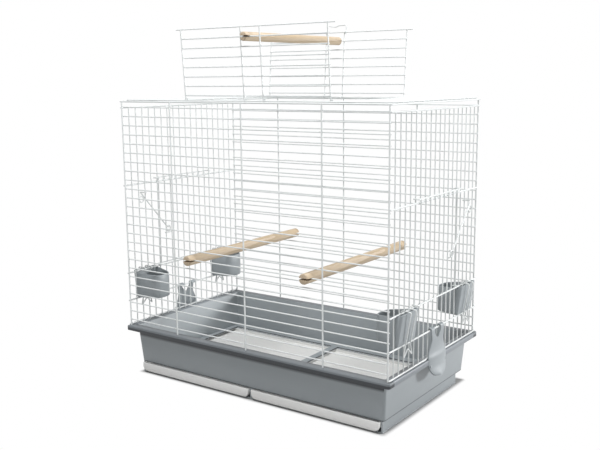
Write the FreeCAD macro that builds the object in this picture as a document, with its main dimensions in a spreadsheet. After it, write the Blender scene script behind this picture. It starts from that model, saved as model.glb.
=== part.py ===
import FreeCAD, Part
import math
import os

import Sketcher

# Wire bird cage on a plastic base with two drawers, an opening wire roof, four
# feeder cups in the side panels, two lifting side doors and two base clips.
# Millimetres, +Z up, +X to the right and -Y to the front. The origin is the
# middle of the base on the surface it stands on.

SIZES = [
    ("cage_length", 500, "between the corner posts along X"),
    ("cage_depth", 285, "between the corner posts along Y"),
    ("cage_height", 379, "from the rim to the top rails"),
    ("wire_pitch", 15, "spacing of the fine wires"),
    ("wire_radius", 1.0, "fine wire"),
    ("frame_radius", 1.3, "posts and rails"),
    ("weld_bite", 0.1, "how far two welded wires sink into each other"),
    ("run_gap", 0.3, "clearance between pieces that move on each other"),
    ("front_bar_x", 143, "inner bars of the front and back, and the roof rods"),
    ("row_start", 10, "lowest front wire above the rim"),
    ("row_room", 5, "least room between the highest front wire and the top rail"),
    ("row_count", "=floor((cage_height - row_start - row_room) / wire_pitch) + 1", "front wires"),
    ("wire_room", 6, "least room between an upright wire and a corner post"),
    ("side_half", "=floor((cage_depth / 2 - wire_pitch / 2 - wire_room) / wire_pitch) + 1",
     "upright wires on each half of a side"),
    ("rail_low", 2, "lowest side rail above the rim"),
    ("rail_cup", 43, "side rail under the cups"),
    ("rail_feed", 90.5, "side rail over the cups"),
    ("rail_door", 240, "side rail over the door opening"),
    ("rail_drop", 10, "from the top rail of a side to the rail under it"),
    ("rail_second", "=cage_height - rail_drop", "side rail under the top rail"),
    ("base_height", 83, "from the floor to the top of the rim"),
    ("plinth_height", 18, "drawer housing under the tray"),
    ("tray_wall", 2.5, "thickness of the tray and the housing"),
    ("rim_out", 6, "rim beyond the corner posts"),
    ("rim_depth", 8, "height of the turned-down rim"),
    ("rim_inset", 13, "from the edge of the rim to the tray wall"),
    ("wall_taper", 4.5, "how far the tray wall leans in, top to bottom"),
    ("wall_corner", 5, "radius of the tray wall's outer corners"),
    ("rim_corner", 4, "radius of the rim's corners"),
    ("rim_round", 1.8, "radius of the rim's upper edge"),
    ("ledge_side", 24, "ends of the floor openings in from the corner posts"),
    ("ledge_x", "=cage_length / 2 - ledge_side", "half length of the two floor openings"),
    ("ledge_fore", 27.5, "front edge of the floor openings in from the corner posts"),
    ("ledge_front", "=cage_depth / 2 - ledge_fore", "front edge of the floor openings"),
    ("ledge_back", "=plinth_back", "back edge of the floor openings"),
    ("centre_bar", 12, "bar between the floor openings"),
    ("plinth_step", 2.5, "housing inside the tray wall"),
    ("plinth_short", 30.5, "back of the housing in from the corner posts"),
    ("plinth_back", "=cage_depth / 2 - plinth_short", "back of the housing"),
    ("plate", 2, "floor of the housing and of the drawers"),
    ("partition", 5, "wall between the drawers"),
    ("drawer_proud", 5, "drawer front beyond the foot of the tray wall"),
    ("drawer_face", "=cage_depth / 2 + rim_out - rim_inset - wall_taper + drawer_proud",
     "drawer front from the middle"),
    ("drawer_lift", 1.5, "drawer front above the underside of its tray"),
    ("drawer_front_t", 3, "thickness of the drawer front"),
    ("drawer_front_h", 12.4, "height of the drawer front"),
    ("drawer_corner", 5, "lower corners of the drawer front"),
    ("drawer_short", 7.5, "back of the drawer in from the wall behind it"),
    ("drawer_back", "=plinth_back - tray_wall - drawer_short", "back of the drawer from the middle"),
    ("drawer_side_h", 11, "height of the drawer walls"),
    ("drawer_wall", 1.8, "thickness of the drawer walls"),
    ("hinge_in", 30, "roof hinge wires in from the corner posts"),
    ("hinge_y", "=cage_depth / 2 - hinge_in", "roof hinge wires from the middle"),
    ("roof_half", "=floor((hinge_y - wire_pitch / 2 - wire_room) / wire_pitch) + 1",
     "short roof wires on each half"),
    ("flap_rows", 8, "wires across each roof flap"),
    ("flap_first", 7.5, "first wire from the hinge"),
    ("flap_meet", 3.5, "from the last wire of a shut flap to the middle of the roof"),
    ("flap_pitch", "=(hinge_y - flap_first - flap_meet) / (flap_rows - 1)", "spacing of the flap wires"),
    ("flap_side", 6.5, "outer bars of a flap in from the roof rods"),
    ("flap_half", "=front_bar_x - flap_side", "outer bars of a flap from its middle"),
    ("flap_inner", 18, "inner bars of a flap from its middle"),
    ("flap_shift", 3.5, "sideways shift that lets the two flaps differ"),
    ("flap_over", 9, "how far the last wire passes the outer bars"),
    ("flap_open", 94, "flap angle in the photograph, from closed"),
    ("perch_radius", 8, "lower perches"),
    ("perch_past", 9.5, "lower perches past the corner posts"),
    ("perch_end", "=cage_depth / 2 + perch_past", "end of the lower perches from the middle"),
    ("perch_left_x", -109, "left perch"),
    ("perch_right_x", 116, "right perch"),
    ("perch_row", "=row_start + 8 * wire_pitch", "wire that the lower perches grip, above the rim"),
    ("top_perch_radius", 6.75, "roof perch"),
    ("top_perch_past", 18.5, "front end of the roof perch past the hinge wire"),
    ("top_perch_front", "=hinge_y + top_perch_past", "front end of the roof perch"),
    ("top_perch_turn", 2.2, "small turn of the roof perch seen from above"),
    ("perch_chamfer", 1.2, "slanted edge at the perch ends"),
    ("slit_room", 0.1, "clearance of a wire in a perch slit"),
    ("slit_neck", 4, "length of the widening mouth of a slit"),
    ("cup_from_post", 45, "middle of a cup opening in from the corner posts"),
    ("cup_y", "=cage_depth / 2 - cup_from_post", "middle of a cup opening from the middle"),
    ("cup_in", 38, "cup inside the panel"),
    ("cup_out_low", 4.5, "outer cup wall at the floor"),
    ("cup_out_top", 11, "outer cup wall at the top"),
    ("cup_half_in", 17, "half width of the cup at its inner end"),
    ("cup_half", 26, "half width of the cup at the panel"),
    ("cup_wall", 1.6, "cup wall"),
    ("cup_over", 1, "top of the outer cup wall over its rail"),
    ("cup_top", "=rail_feed + cup_over", "top of the outer cup wall above the rim"),
    ("cup_under", 6.5, "inner cup rim below the rail"),
    ("cup_rim_in", "=rail_feed - cup_under", "inner cup rim above the rim"),
    ("bail_half", 7.5, "half spacing of the bail legs"),
    ("bail_reach", 13.5, "how far a bail stands out from its rail"),
    ("bail_foot", 4.2, "how far the bent end of a bail stands out"),
    ("bail_splay", 5, "how far the bent end widens"),
    ("bail_tail", 17, "bent end below the lower rail"),
    ("bail_notch", 5, "middle of the bent end below the lower rail"),
    ("bail_bend", 3, "length cut off each corner of a bail"),
    ("door_half", "=4 * wire_pitch", "half width of a side door"),
    ("door_gap", 0.4, "clearance of the side doors and of the clips' catch"),
    ("door_low", "=rail_feed + frame_radius + wire_radius + run_gap", "lower door rail above the rim"),
    ("door_mid", 145, "keeper wire of the door above the rim"),
    ("door_over", 6, "upper door rail over the rail of its opening"),
    ("door_high", "=rail_door + door_over", "upper door rail above the rim"),
    ("door_guide", "=4.5 * wire_pitch", "fixed wires that guide the door"),
    ("hook_y", "=6.5 * wire_pitch", "fixed wire that carries the door hook"),
    ("hook_under", 16, "eye of the door hook below the rail over the door"),
    ("hook_z", "=rail_door - hook_under", "eye of the door hook above the rim"),
    ("hook_tip_y", "=2.5 * wire_pitch", "tip of the door hook"),
    ("hook_over", 10, "tip of the door hook over the keeper wire"),
    ("hook_tip_z", "=door_mid + hook_over", "tip of the door hook above the rim"),
    ("hook_gap", 0.9, "clearance of the door hook in front of the door"),
    ("hook_tip", 4, "tip of the door hook in front of the side wires"),
    ("hook_ring", 5, "rings of the door hook"),
    ("clip_t", 2.4, "thickness of a base clip"),
    ("clip_half", 20.5, "half width of a clip at its prongs"),
    ("clip_prong", 9.5, "inner edge of a prong"),
    ("clip_round", 29, "half width of the clip handle"),
    ("clip_low", 28.5, "bottom of the handle below the rim"),
    ("clip_lip", 1, "end of a prong behind the rail, below its middle"),
    ("clip_lean", 12, "where the plate starts to lean out, above the rim"),
    ("clip_foot", 2, "where the plate meets the rim, above its top"),
    ("clip_off", 0.8, "clearance of the plate in front of the rim"),
    ("clip_catch", 2.3, "how far the catch reaches in under the rim"),
    ("clip_catch_t", 1.6, "thickness of the catch at its tip"),
    ("clip_catch_h", 4.5, "height of the catch at the plate"),
    ("clip_flare", 6.5, "how far the end of the handle stands out from the rim"),
    ("clip_step", 5, "where the slot between the prongs starts to narrow"),
    ("clip_notch", 14, "depth of the slot between the prongs"),
    ("clip_vee", 2.5, "half width of the slot at its foot"),
    ("latch_x", 18, "eye of the roof latch"),
    ("latch_rise", 12, "how far the roof latch stands over its wire"),
    ("latch_reach", 35, "length of the roof latch arm"),
]

doc = FreeCAD.newDocument("bird_cage")
sheet = doc.addObject("Spreadsheet::Sheet", "Sheet")
for row, (alias, value, meaning) in enumerate(SIZES, start=1):
    sheet.set("A%d" % row, meaning)
    sheet.setAlias("B%d" % row, alias)
for row, (alias, value, meaning) in enumerate(SIZES, start=1):
    sheet.set("B%d" % row, str(value))
doc.recompute()

V = FreeCAD.Vector
NODES = []


def num(text):
    """The number that an expression on the sheet gives."""
    return float(sheet.evalExpression(cells(text)))


def cells(text):
    """An expression with each size name turned into its cell on the sheet."""
    words = []
    for word in str(text).replace("(", " ( ").replace(")", " ) ").split():
        words.append("Sheet." + word if word in ALIASES else word)
    return " ".join(words)


ALIASES = {alias for alias, value, meaning in SIZES}

# Heights and planes that several pieces share.
RIM = "base_height"
POST_X = "cage_length / 2"
ROW_Y = "( cage_depth / 2 - frame_radius - wire_radius + weld_bite )"
TOP_Y = "( cage_depth / 2 - 2 * frame_radius + weld_bite )"
RAIL_X = "( cage_length / 2 + 2 * frame_radius - weld_bite )"
SIDE_X = "( cage_length / 2 + frame_radius - wire_radius )"
TOP_Z = "( base_height + cage_height )"
ROOF_Z = "( base_height + cage_height + frame_radius + wire_radius - weld_bite )"


def node(obj, label):
    """Keep an object as one piece of the cage under its file name."""
    obj.Label = label
    NODES.append(obj)
    return obj


def bind(obj, sizes):
    """Bind properties of an object to expressions on the sheet."""
    for name, text in sizes.items():
        obj.setExpression(name, cells(text))


TURN = {
    "X": FreeCAD.Rotation(V(0, 1, 0), 90),
    "Y": FreeCAD.Rotation(V(1, 0, 0), -90),
    "Z": FreeCAD.Rotation(V(0, 0, 1), 0),
}


def rod(name, axis, start, stop, first, second, radius, hinge=False):
    """A straight wire along an axis, between two places, at two other coordinates.

    A wire that something turns on is round. On the others eight flat sides stand for
    the round wire, with an edge on each side where another wire is welded on.
    """
    wire = doc.addObject("Part::Cylinder" if hinge else "Part::Prism", name)
    if not hinge:
        wire.Polygon = 8
    wire.Placement = FreeCAD.Placement(V(0, 0, 0), TURN[axis])
    others = [letter for letter in "xyz" if letter != axis.lower()]
    bind(wire, {
        "Radius" if hinge else "Circumradius": radius,
        "Height": "( %s ) - ( %s )" % (stop, start),
        "Placement.Base." + axis.lower(): start,
        "Placement.Base." + others[0]: first,
        "Placement.Base." + others[1]: second,
    })
    return wire


def group(label, wires):
    """Welded wires as one piece that keeps each wire a solid of its own."""
    compound = doc.addObject("Part::Compound", label)
    compound.Links = wires
    return node(compound, label)


def eye(radius, begin, sweep, steps):
    """Corners of a bent eye whose sides touch a circle, in its own plane."""
    part = math.radians(sweep) / steps
    corners = []
    for index in range(steps):
        angle = math.radians(begin) + part * (index + 0.5)
        reach = radius / math.cos(part / 2)
        corners.append((reach * math.cos(angle), reach * math.sin(angle)))
    last = math.radians(begin + sweep)
    corners.append((radius * math.cos(last), radius * math.sin(last)))
    return corners


def soften(points, cut):
    """A path with each inner corner replaced by two, so that bends are not sharp."""
    path = [points[0]]
    for before, here, after in zip(points, points[1:], points[2:]):
        back = before - here
        ahead = after - here
        path.append(here + back * (min(cut, back.Length * 0.4) / back.Length))
        path.append(here + ahead * (min(cut, ahead.Length * 0.4) / ahead.Length))
    path.append(points[-1])
    return path


def bent_wire(path, radius, sides):
    """A wire bent along a path, with a many-sided section and mitred bends."""
    first = (path[1] - path[0]).normalize()
    helper = V(0, 0, 1) if abs(first.z) < 0.9 else V(1, 0, 0)
    across = first.cross(helper).normalize()
    up = first.cross(across).normalize()
    ring = []
    for index in range(sides):
        angle = 2 * math.pi * (index + 0.5) / sides
        ring.append(path[0] + across * (radius * math.cos(angle)) + up * (radius * math.sin(angle)))
    rings = [ring]
    for index in range(1, len(path)):
        along = (path[index] - path[index - 1]).normalize()
        normal = along
        if index + 1 < len(path):
            normal = along + (path[index + 1] - path[index]).normalize()
        moved = []
        for point in rings[-1]:
            step = (path[index] - point).dot(normal) / along.dot(normal)
            moved.append(point + along * step)
        rings.append(moved)
    faces = []
    for low, high in zip(rings, rings[1:]):
        for index in range(sides):
            other = (index + 1) % sides
            corners = [low[index], low[other], high[other], high[index], low[index]]
            faces.append(Part.Face(Part.makePolygon(corners)))
    for cap in (rings[0], rings[-1]):
        faces.append(Part.Face(Part.makePolygon(cap + [cap[0]])))
    solid = Part.makeSolid(Part.makeShell(faces))
    if solid.Volume < 0:
        solid.reverse()
    return solid


def wire_object(name, path, radius, sides=6):
    """A bent wire as an object of the document."""
    bent = doc.addObject("Part::Feature", name)
    bent.Shape = bent_wire(path, radius, sides)
    return bent


def place(obj, x, y, z, turn=0):
    """Put an object at a place on the sheet, turned about the vertical."""
    obj.Placement = FreeCAD.Placement(V(0, 0, 0), FreeCAD.Rotation(V(0, 0, 1), turn))
    bind(obj, {"Placement.Base.x": x, "Placement.Base.y": y, "Placement.Base.z": z})


def plane_of(body, role):
    """An origin plane of a body."""
    return [item for item in body.Origin.OriginFeatures if item.Role == role][0]


def outline(body, role, name, loops, offset="0"):
    """A sketch of closed outlines with every corner bound to the sheet."""
    sketch = body.newObject("Sketcher::SketchObject", name)
    sketch.AttachmentSupport = [(plane_of(body, role), "")]
    sketch.MapMode = "FlatFace"
    sketch.setExpression("AttachmentOffset.Base.z", cells(offset))
    for points in loops:
        spots = [V(num(across), num(up), 0) for across, up in points]
        begin = sketch.GeometryCount
        count = len(points)
        for index in range(count):
            sketch.addGeometry(Part.LineSegment(spots[index], spots[(index + 1) % count]), False)
        for index in range(count):
            here = begin + index
            after = begin + (index + 1) % count
            sketch.addConstraint(Sketcher.Constraint("Coincident", here, 2, after, 1))
        for index, (across, up) in enumerate(points):
            corner(sketch, begin + index, "DistanceX", across, -2)
            corner(sketch, begin + index, "DistanceY", up, -1)
    return sketch


def corner(sketch, line, kind, text, axis):
    """Bind one coordinate of the start of a line."""
    value = num(text)
    if abs(value) < 1e-9:
        sketch.addConstraint(Sketcher.Constraint("PointOnObject", line, 1, axis))
        return
    if value > 0:
        index = sketch.addConstraint(Sketcher.Constraint(kind, -1, 1, line, 1, value))
        sketch.setExpression("Constraints[%d]" % index, cells(text))
        return
    index = sketch.addConstraint(Sketcher.Constraint(kind, line, 1, -1, 1, -value))
    sketch.setExpression("Constraints[%d]" % index, cells("0 - ( %s )" % text))


def rectangle(left, right, front, back):
    """The corners of a rectangle."""
    return [(left, front), (right, front), (right, back), (left, back)]


def pad(body, sketch, length, name):
    """Raise a sketch along the normal of its plane."""
    feature = body.newObject("PartDesign::Pad", name)
    feature.Profile = sketch
    feature.setExpression("Length", cells(length))
    doc.recompute()
    return feature


def pad_both(body, sketch, length, name):
    """Raise a sketch to both sides of its plane."""
    feature = body.newObject("PartDesign::Pad", name)
    feature.Profile = sketch
    feature.SideType = "Symmetric"
    feature.setExpression("Length", cells(length))
    doc.recompute()
    return feature


def pocket(body, sketch, name, length=None):
    """Cut a sketch right through both ways, or upward from its plane."""
    before = body.Shape.Volume
    feature = body.newObject("PartDesign::Pocket", name)
    feature.Profile = sketch
    if length is None:
        feature.Type = "ThroughAll"
        feature.SideType = "Symmetric"
    else:
        feature.Reversed = True
        feature.setExpression("Length", cells(length))
    doc.recompute()
    if body.Shape.Volume > before - 0.01:
        raise RuntimeError(name + " cuts nothing")
    return feature


def loft(body, kind, low, high, name):
    """A ruled loft between two sketches, added or taken away."""
    feature = body.newObject("PartDesign::" + kind, name)
    feature.Profile = low
    feature.Sections = [high]
    feature.Ruled = True
    doc.recompute()
    return feature


def picked(feature, pick):
    """Names of the edges of a feature that a test picks."""
    return ["Edge%d" % index for index, edge in enumerate(feature.Shape.Edges, start=1) if pick(edge)]


def fillet(body, feature, pick, radius, name):
    """Round the edges of a feature that a test picks."""
    rounded = body.newObject("PartDesign::Fillet", name)
    rounded.Base = (feature, picked(feature, pick))
    rounded.setExpression("Radius", cells(radius))
    doc.recompute()
    return rounded


def chamfer(body, feature, pick, size, name):
    """Cut a slant on the edges of a feature that a test picks."""
    slanted = body.newObject("PartDesign::Chamfer", name)
    slanted.Base = (feature, picked(feature, pick))
    slanted.setExpression("Size", cells(size))
    doc.recompute()
    return slanted


# Front and back panels. Five upright bars outside, the fine wires across behind
# them and a top rail.
def flat_panel(label, side):
    bar_y = "%d * cage_depth / 2" % side
    row_y = "%d * %s" % (side, ROW_Y)
    top_y = "%d * %s" % (side, TOP_Y)
    end = "cage_length / 2 + frame_radius"
    wires = []
    for index, text in enumerate(("0 - cage_length / 2", "0 - front_bar_x", "0", "front_bar_x", POST_X)):
        top = "%s + frame_radius" % TOP_Z
        wires.append(rod("%s_bar_%d" % (label, index), "Z", RIM, top, text, bar_y, "frame_radius"))
    for index in range(int(num("row_count"))):
        height = "base_height + row_start + %d * wire_pitch" % index
        name = "%s_row_%d" % (label, index)
        wires.append(rod(name, "X", "0 - ( %s )" % end, end, row_y, height, "wire_radius"))
    wires.append(rod(label + "_top", "X", "0 - ( %s )" % end, end, top_y, TOP_Z, "frame_radius"))
    group(label, wires)


flat_panel("front_panel", -1)
flat_panel("back_panel", 1)


# Side panels. Rails outside the posts and upright wires inside them. Openings
# for two cups and a door are left by cutting the upright wires at the rails.
def side_panel(label, side):
    rail_x = "%d * %s" % (side, RAIL_X)
    wire_x = "%d * %s" % (side, SIDE_X)
    end = "cage_depth / 2 + frame_radius"
    wires = []
    for index, text in enumerate(("rail_low", "rail_cup", "rail_feed", "rail_door", "rail_second", "cage_height")):
        height = "base_height + " + text
        name = "%s_rail_%d" % (label, index)
        hinge = text in ("rail_cup", "rail_feed")
        wires.append(rod(name, "Y", "0 - ( %s )" % end, end, rail_x, height, "frame_radius", hinge))
    high = "base_height + rail_second + frame_radius"
    for index in range(int(num("2 * side_half"))):
        place_y = "( %d - side_half + 0.5 ) * wire_pitch" % index
        spot = num(place_y)
        in_cup = abs(abs(spot) - num("cup_y")) < num("cup_half + wire_radius + run_gap")
        in_door = abs(spot) < num("door_half")
        runs = [(RIM, high)]
        if in_cup or in_door:
            below = "rail_cup" if in_cup else "rail_feed"
            above = "rail_door" if in_door else "rail_feed"
            runs = [(RIM, "base_height + %s + frame_radius" % below),
                    ("base_height + %s - frame_radius" % above, high)]
        hinge = abs(spot - side * num("hook_y")) < num("wire_radius")
        for part, (low, top) in enumerate(runs):
            name = "%s_wire_%d_%d" % (label, index, part)
            wires.append(rod(name, "Z", low, top, wire_x, place_y, "wire_radius", hinge and part == len(runs) - 1))
    group(label, wires)


side_panel("left_panel", -1)
side_panel("right_panel", 1)


# Roof frame. Long wires on the side rails, two rods that carry the short wires
# beside the opening. The flaps hinge on the inner long wires.
def roof_frame():
    wires = []
    far = "%s + wire_radius" % RAIL_X
    long_spots = ("0 - hinge_y - wire_pitch", "0 - hinge_y", "hinge_y", "hinge_y + wire_pitch")
    for index, text in enumerate(long_spots):
        wires.append(rod("roof_long_%d" % index, "X", "0 - ( %s )" % far, far, text, ROOF_Z, "wire_radius",
                         index in (1, 2)))
    reach = "%s - frame_radius + weld_bite" % TOP_Y
    for index, text in enumerate(("0 - front_bar_x", "front_bar_x")):
        wires.append(rod("roof_rod_%d" % index, "Y", "0 - ( %s )" % reach, reach, text, TOP_Z, "frame_radius"))
    near = "front_bar_x - frame_radius"
    for index in range(int(num("2 * roof_half"))):
        spot = "( %d - roof_half + 0.5 ) * wire_pitch" % index
        wires.append(rod("roof_left_%d" % index, "X", "0 - ( %s )" % far, "0 - ( %s )" % near,
                         spot, ROOF_Z, "wire_radius"))
        wires.append(rod("roof_right_%d" % index, "X", near, far, spot, ROOF_Z, "wire_radius"))
    group("roof_frame", wires)


roof_frame()


# Roof flaps. Built lying flat with the hinge axis along X at the origin, then
# turned open. The same part turned half round makes the other flap.
EYE = "2 * wire_radius + run_gap"
ROW_N = num(EYE) - 2 * num("wire_radius") + num("weld_bite")


def flap(label, side):
    wires = []
    rows = int(num("flap_rows"))
    row_n = "%s - 2 * wire_radius + weld_bite" % EYE
    for index in range(rows):
        half = "flap_half + wire_radius"
        if index == rows - 1:
            half = "flap_half + flap_over"
        along = "flap_first + %d * flap_pitch" % index
        wires.append(rod("%s_row_%d" % (label, index), "X", "flap_shift - ( %s )" % half,
                         "flap_shift + %s" % half, along, row_n, "wire_radius", index == rows - 1))
    tip = num("flap_first + ( flap_rows - 1 ) * flap_pitch + wire_radius")
    for index, text in enumerate(("0 - flap_half", "0 - flap_inner", "flap_inner", "flap_half")):
        x = num("flap_shift + " + text)
        path = [V(x, tip, num(EYE))]
        for along, normal in eye(num(EYE), 90, 290, 6):
            path.append(V(x, along, normal))
        wires.append(wire_object("%s_bar_%d" % (label, index), path, num("wire_radius")))
    piece = group(label, wires)
    turn = FreeCAD.Rotation(V(1, 0, 0), num("flap_open"))
    if side > 0:
        turn = FreeCAD.Rotation(V(0, 0, 1), 180).multiply(turn)
    piece.Placement = FreeCAD.Placement(V(0, 0, 0), turn)
    bind(piece, {"Placement.Base.y": "%d * hinge_y" % side, "Placement.Base.z": ROOF_Z})
    return piece


flap("front_flap", -1)
flap("back_flap", 1)


def flap_point(along, normal):
    """Distance outward and height of a point on an open flap."""
    angle = math.radians(num("flap_open"))
    out = num("hinge_y") - along * math.cos(angle) + normal * math.sin(angle)
    height = num(ROOF_Z) + along * math.sin(angle) + normal * math.cos(angle)
    return out, height


# Roof latch. A bent wire whose eye turns on the last wire of the back flap and
# whose arm lies over the last wire of the front flap when both are shut.
def roof_latch():
    out, height = flap_point(num("flap_first + ( flap_rows - 1 ) * flap_pitch"), ROW_N)
    radius = num(EYE)
    x = num("latch_x")
    rise = num("latch_rise")
    reach = num("latch_reach")
    points = []
    for along, normal in reversed(eye(radius, 0, -290, 6)):
        points.append(V(x, out + along, height + normal))
    points.append(V(x, out + radius, height + rise))
    kink = num("wire_radius")
    points.append(V(x - reach * 0.45, out + radius, height + rise - 0.5 * kink))
    points.append(V(x - reach * 0.6, out + radius, height + rise - 3 * kink))
    points.append(V(x - reach, out + radius, height + rise - 0.5 * kink))
    node(wire_object("roof_latch", points, num("wire_radius")), "roof_latch")


roof_latch()


# Perches. Round wood with a saw slit in each end that grips a wire.
def slit(half, start, stop):
    """Outline of a slit that opens to a wider mouth at the end of a perch."""
    mouth = "( %s ) * 2.6" % half
    neck = "( %s ) - slit_neck" % stop
    return [(start, "0 - ( %s )" % half), (neck, "0 - ( %s )" % half), (stop, "0 - ( %s )" % mouth),
            (stop, mouth), (neck, half), (start, half)]


def perch_body(label, radius, front, back):
    """A round rod along Y from its front end to its back end."""
    body = doc.addObject("PartDesign::Body", label)
    stick = body.newObject("PartDesign::AdditiveCylinder", label + "_rod")
    stick.Placement = FreeCAD.Placement(V(0, 0, 0), TURN["Y"])
    bind(stick, {"Radius": radius, "Height": "( %s ) + ( %s )" % (front, back),
                 "Placement.Base.y": "0 - ( %s )" % front})
    doc.recompute()
    chamfer(body, stick, lambda edge: edge.Closed, "perch_chamfer", label + "_ends")
    return body


def lower_perch(label, x):
    body = perch_body(label, "perch_radius", "perch_end", "perch_end")
    half = "wire_radius + slit_room"
    start = "%s - wire_radius - slit_room" % ROW_Y
    stop = "perch_end + perch_chamfer"
    mouth = slit(half, start, stop)
    back = [(across, up) for across, up in mouth]
    front = [("0 - ( %s )" % across, up) for across, up in mouth]
    pocket(body, outline(body, "YZ_Plane", label + "_slits", [back, front]), label + "_cut")
    place(body, x, "0", "base_height + perch_row")
    node(body, label)


lower_perch("left_perch", "perch_left_x")
lower_perch("right_perch", "perch_right_x")


# Roof perch. Its front slit grips the seventh wire of the front flap, its back
# end rests on the same wire of the back flap.
GRIP_OUT, GRIP_Z = flap_point(num("flap_first + ( flap_rows - 2 ) * flap_pitch"), ROW_N)
LAST_OUT, LAST_Z = flap_point(num("flap_first + ( flap_rows - 1 ) * flap_pitch"), ROW_N)


def roof_perch():
    back_end = "%.6f - wire_radius - run_gap" % LAST_OUT
    body = perch_body("roof_perch", "top_perch_radius", "top_perch_front", back_end)
    half = "wire_radius + run_gap"
    start = "%.6f - wire_radius - run_gap" % GRIP_OUT
    front = [("0 - ( %s )" % across, up) for across, up in slit(half, start, "top_perch_front + perch_chamfer")]
    rebate = rectangle("%.6f - wire_radius - run_gap" % GRIP_OUT, "%.6f + 2 * wire_radius" % LAST_OUT,
                       "0 - 1.2 * top_perch_radius", half)
    pocket(body, outline(body, "YZ_Plane", "roof_perch_ends", [front, rebate]), "roof_perch_cut")
    place(body, "0", "0", "%.6f" % GRIP_Z, -num("top_perch_turn"))
    node(body, "roof_perch")


roof_perch()


# Base tray. A tapered wall, a turned-down rim that the wire stands on and a
# ledge with two floor openings over the drawers.
RIM_X = "( cage_length / 2 + rim_out )"
RIM_Y = "( cage_depth / 2 + rim_out )"


def box_loop(half_x, half_y, less="0"):
    """A rectangle about the middle, drawn in by a thickness."""
    right = "%s - ( %s )" % (half_x, less)
    back = "%s - ( %s )" % (half_y, less)
    return rectangle("0 - ( %s )" % right, right, "0 - ( %s )" % back, back)


def round_loop(half_x, half_y, less="0"):
    """The same rectangle with corners of three flats each, for walls of one thickness."""
    right = "( %s - ( %s ) )" % (half_x, less)
    back = "( %s - ( %s ) )" % (half_y, less)
    points = []
    for quarter in range(4):
        for step in range(4):
            angle = quarter * 90 + step * 30
            side_x = 1 if quarter in (0, 3) else -1
            side_y = 1 if quarter in (0, 1) else -1
            in_x = "( 1 - %.6f ) * ( wall_corner - %s )" % (abs(math.cos(math.radians(angle))), less)
            in_y = "( 1 - %.6f ) * ( wall_corner - %s )" % (abs(math.sin(math.radians(angle))), less)
            points.append(("%d * ( %s - %s )" % (side_x, right, in_x), "%d * ( %s - %s )" % (side_y, back, in_y)))
    return points


def base_tray():
    body = doc.addObject("PartDesign::Body", "base_tray")
    top_x = "%s - rim_inset" % RIM_X
    top_y = "%s - rim_inset" % RIM_Y
    low_x = top_x + " - wall_taper"
    low_y = top_y + " - wall_taper"
    low = outline(body, "XY_Plane", "wall_low", [round_loop(low_x, low_y)], "plinth_height")
    high = outline(body, "XY_Plane", "wall_high", [round_loop(top_x, top_y)], "base_height - tray_wall")
    loft(body, "AdditiveLoft", low, high, "wall")
    floor_z = "plinth_height + tray_wall"
    low = outline(body, "XY_Plane", "room_low", [round_loop(low_x, low_y, "tray_wall")], floor_z)
    high = outline(body, "XY_Plane", "room_high", [round_loop(top_x, top_y, "tray_wall")], "base_height + 0")
    loft(body, "SubtractiveLoft", low, high, "room")
    flange = outline(body, "XY_Plane", "flange_line",
                     [box_loop(RIM_X, RIM_Y), round_loop(top_x, top_y, "tray_wall")], "base_height - tray_wall")
    pad(body, flange, "tray_wall", "flange")
    lip = outline(body, "XY_Plane", "lip_line",
                  [box_loop(RIM_X, RIM_Y), box_loop(RIM_X, RIM_Y, "tray_wall")], "base_height - rim_depth")
    rim = pad(body, lip, "rim_depth - tray_wall", "lip")

    def rim_corner(edge):
        ends = [vertex.Point for vertex in edge.Vertexes]
        if len(ends) != 2 or abs(ends[0].z - ends[1].z) < 1:
            return False
        return all(abs(abs(end.x) - num(RIM_X)) < 0.01 and abs(abs(end.y) - num(RIM_Y)) < 0.01 for end in ends)

    rim = fillet(body, rim, rim_corner, "rim_corner", "rim_corners")

    def rim_edge(edge):
        box = edge.BoundBox
        if abs(box.ZMin - num(RIM)) > 0.01 or abs(box.ZMax - num(RIM)) > 0.01:
            return False
        return box.XMax > num(RIM_X) - 0.01 or box.XMin < -num(RIM_X) + 0.01 \
            or box.YMax > num(RIM_Y) - 0.01 or box.YMin < -num(RIM_Y) + 0.01

    fillet(body, rim, rim_edge, "rim_round", "rim_edge")
    left = rectangle("0 - ledge_x", "0 - centre_bar / 2", "0 - ledge_front", "ledge_back")
    right = rectangle("centre_bar / 2", "ledge_x", "0 - ledge_front", "ledge_back")
    pocket(body, outline(body, "XY_Plane", "openings", [left, right]), "floor_openings", floor_z + " + 1")
    node(body, "base_tray")


base_tray()


# Drawer housing under the tray. Open at the front, with a wall between the two
# drawers and a thin floor that they slide on.
HOUSE_X = "( %s - rim_inset - wall_taper - plinth_step )" % RIM_X
HOUSE_Y = "( %s - rim_inset - wall_taper )" % RIM_Y


def base_plinth():
    body = doc.addObject("PartDesign::Body", "base_plinth")
    block = outline(body, "XY_Plane", "block_line",
                    [rectangle("0 - %s" % HOUSE_X, HOUSE_X, "0 - %s" % HOUSE_Y, "plinth_back")])
    pad(body, block, "plinth_height", "block")
    front = "0 - %s - 1" % HOUSE_Y
    back = "plinth_back - tray_wall"
    left = rectangle("0 - ( %s - tray_wall )" % HOUSE_X, "0 - partition / 2", front, back)
    right = rectangle("partition / 2", "%s - tray_wall" % HOUSE_X, front, back)
    rooms = outline(body, "XY_Plane", "drawer_rooms", [left, right], "plate")
    pocket(body, rooms, "rooms", "plinth_height")
    node(body, "base_plinth")


base_plinth()


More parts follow.
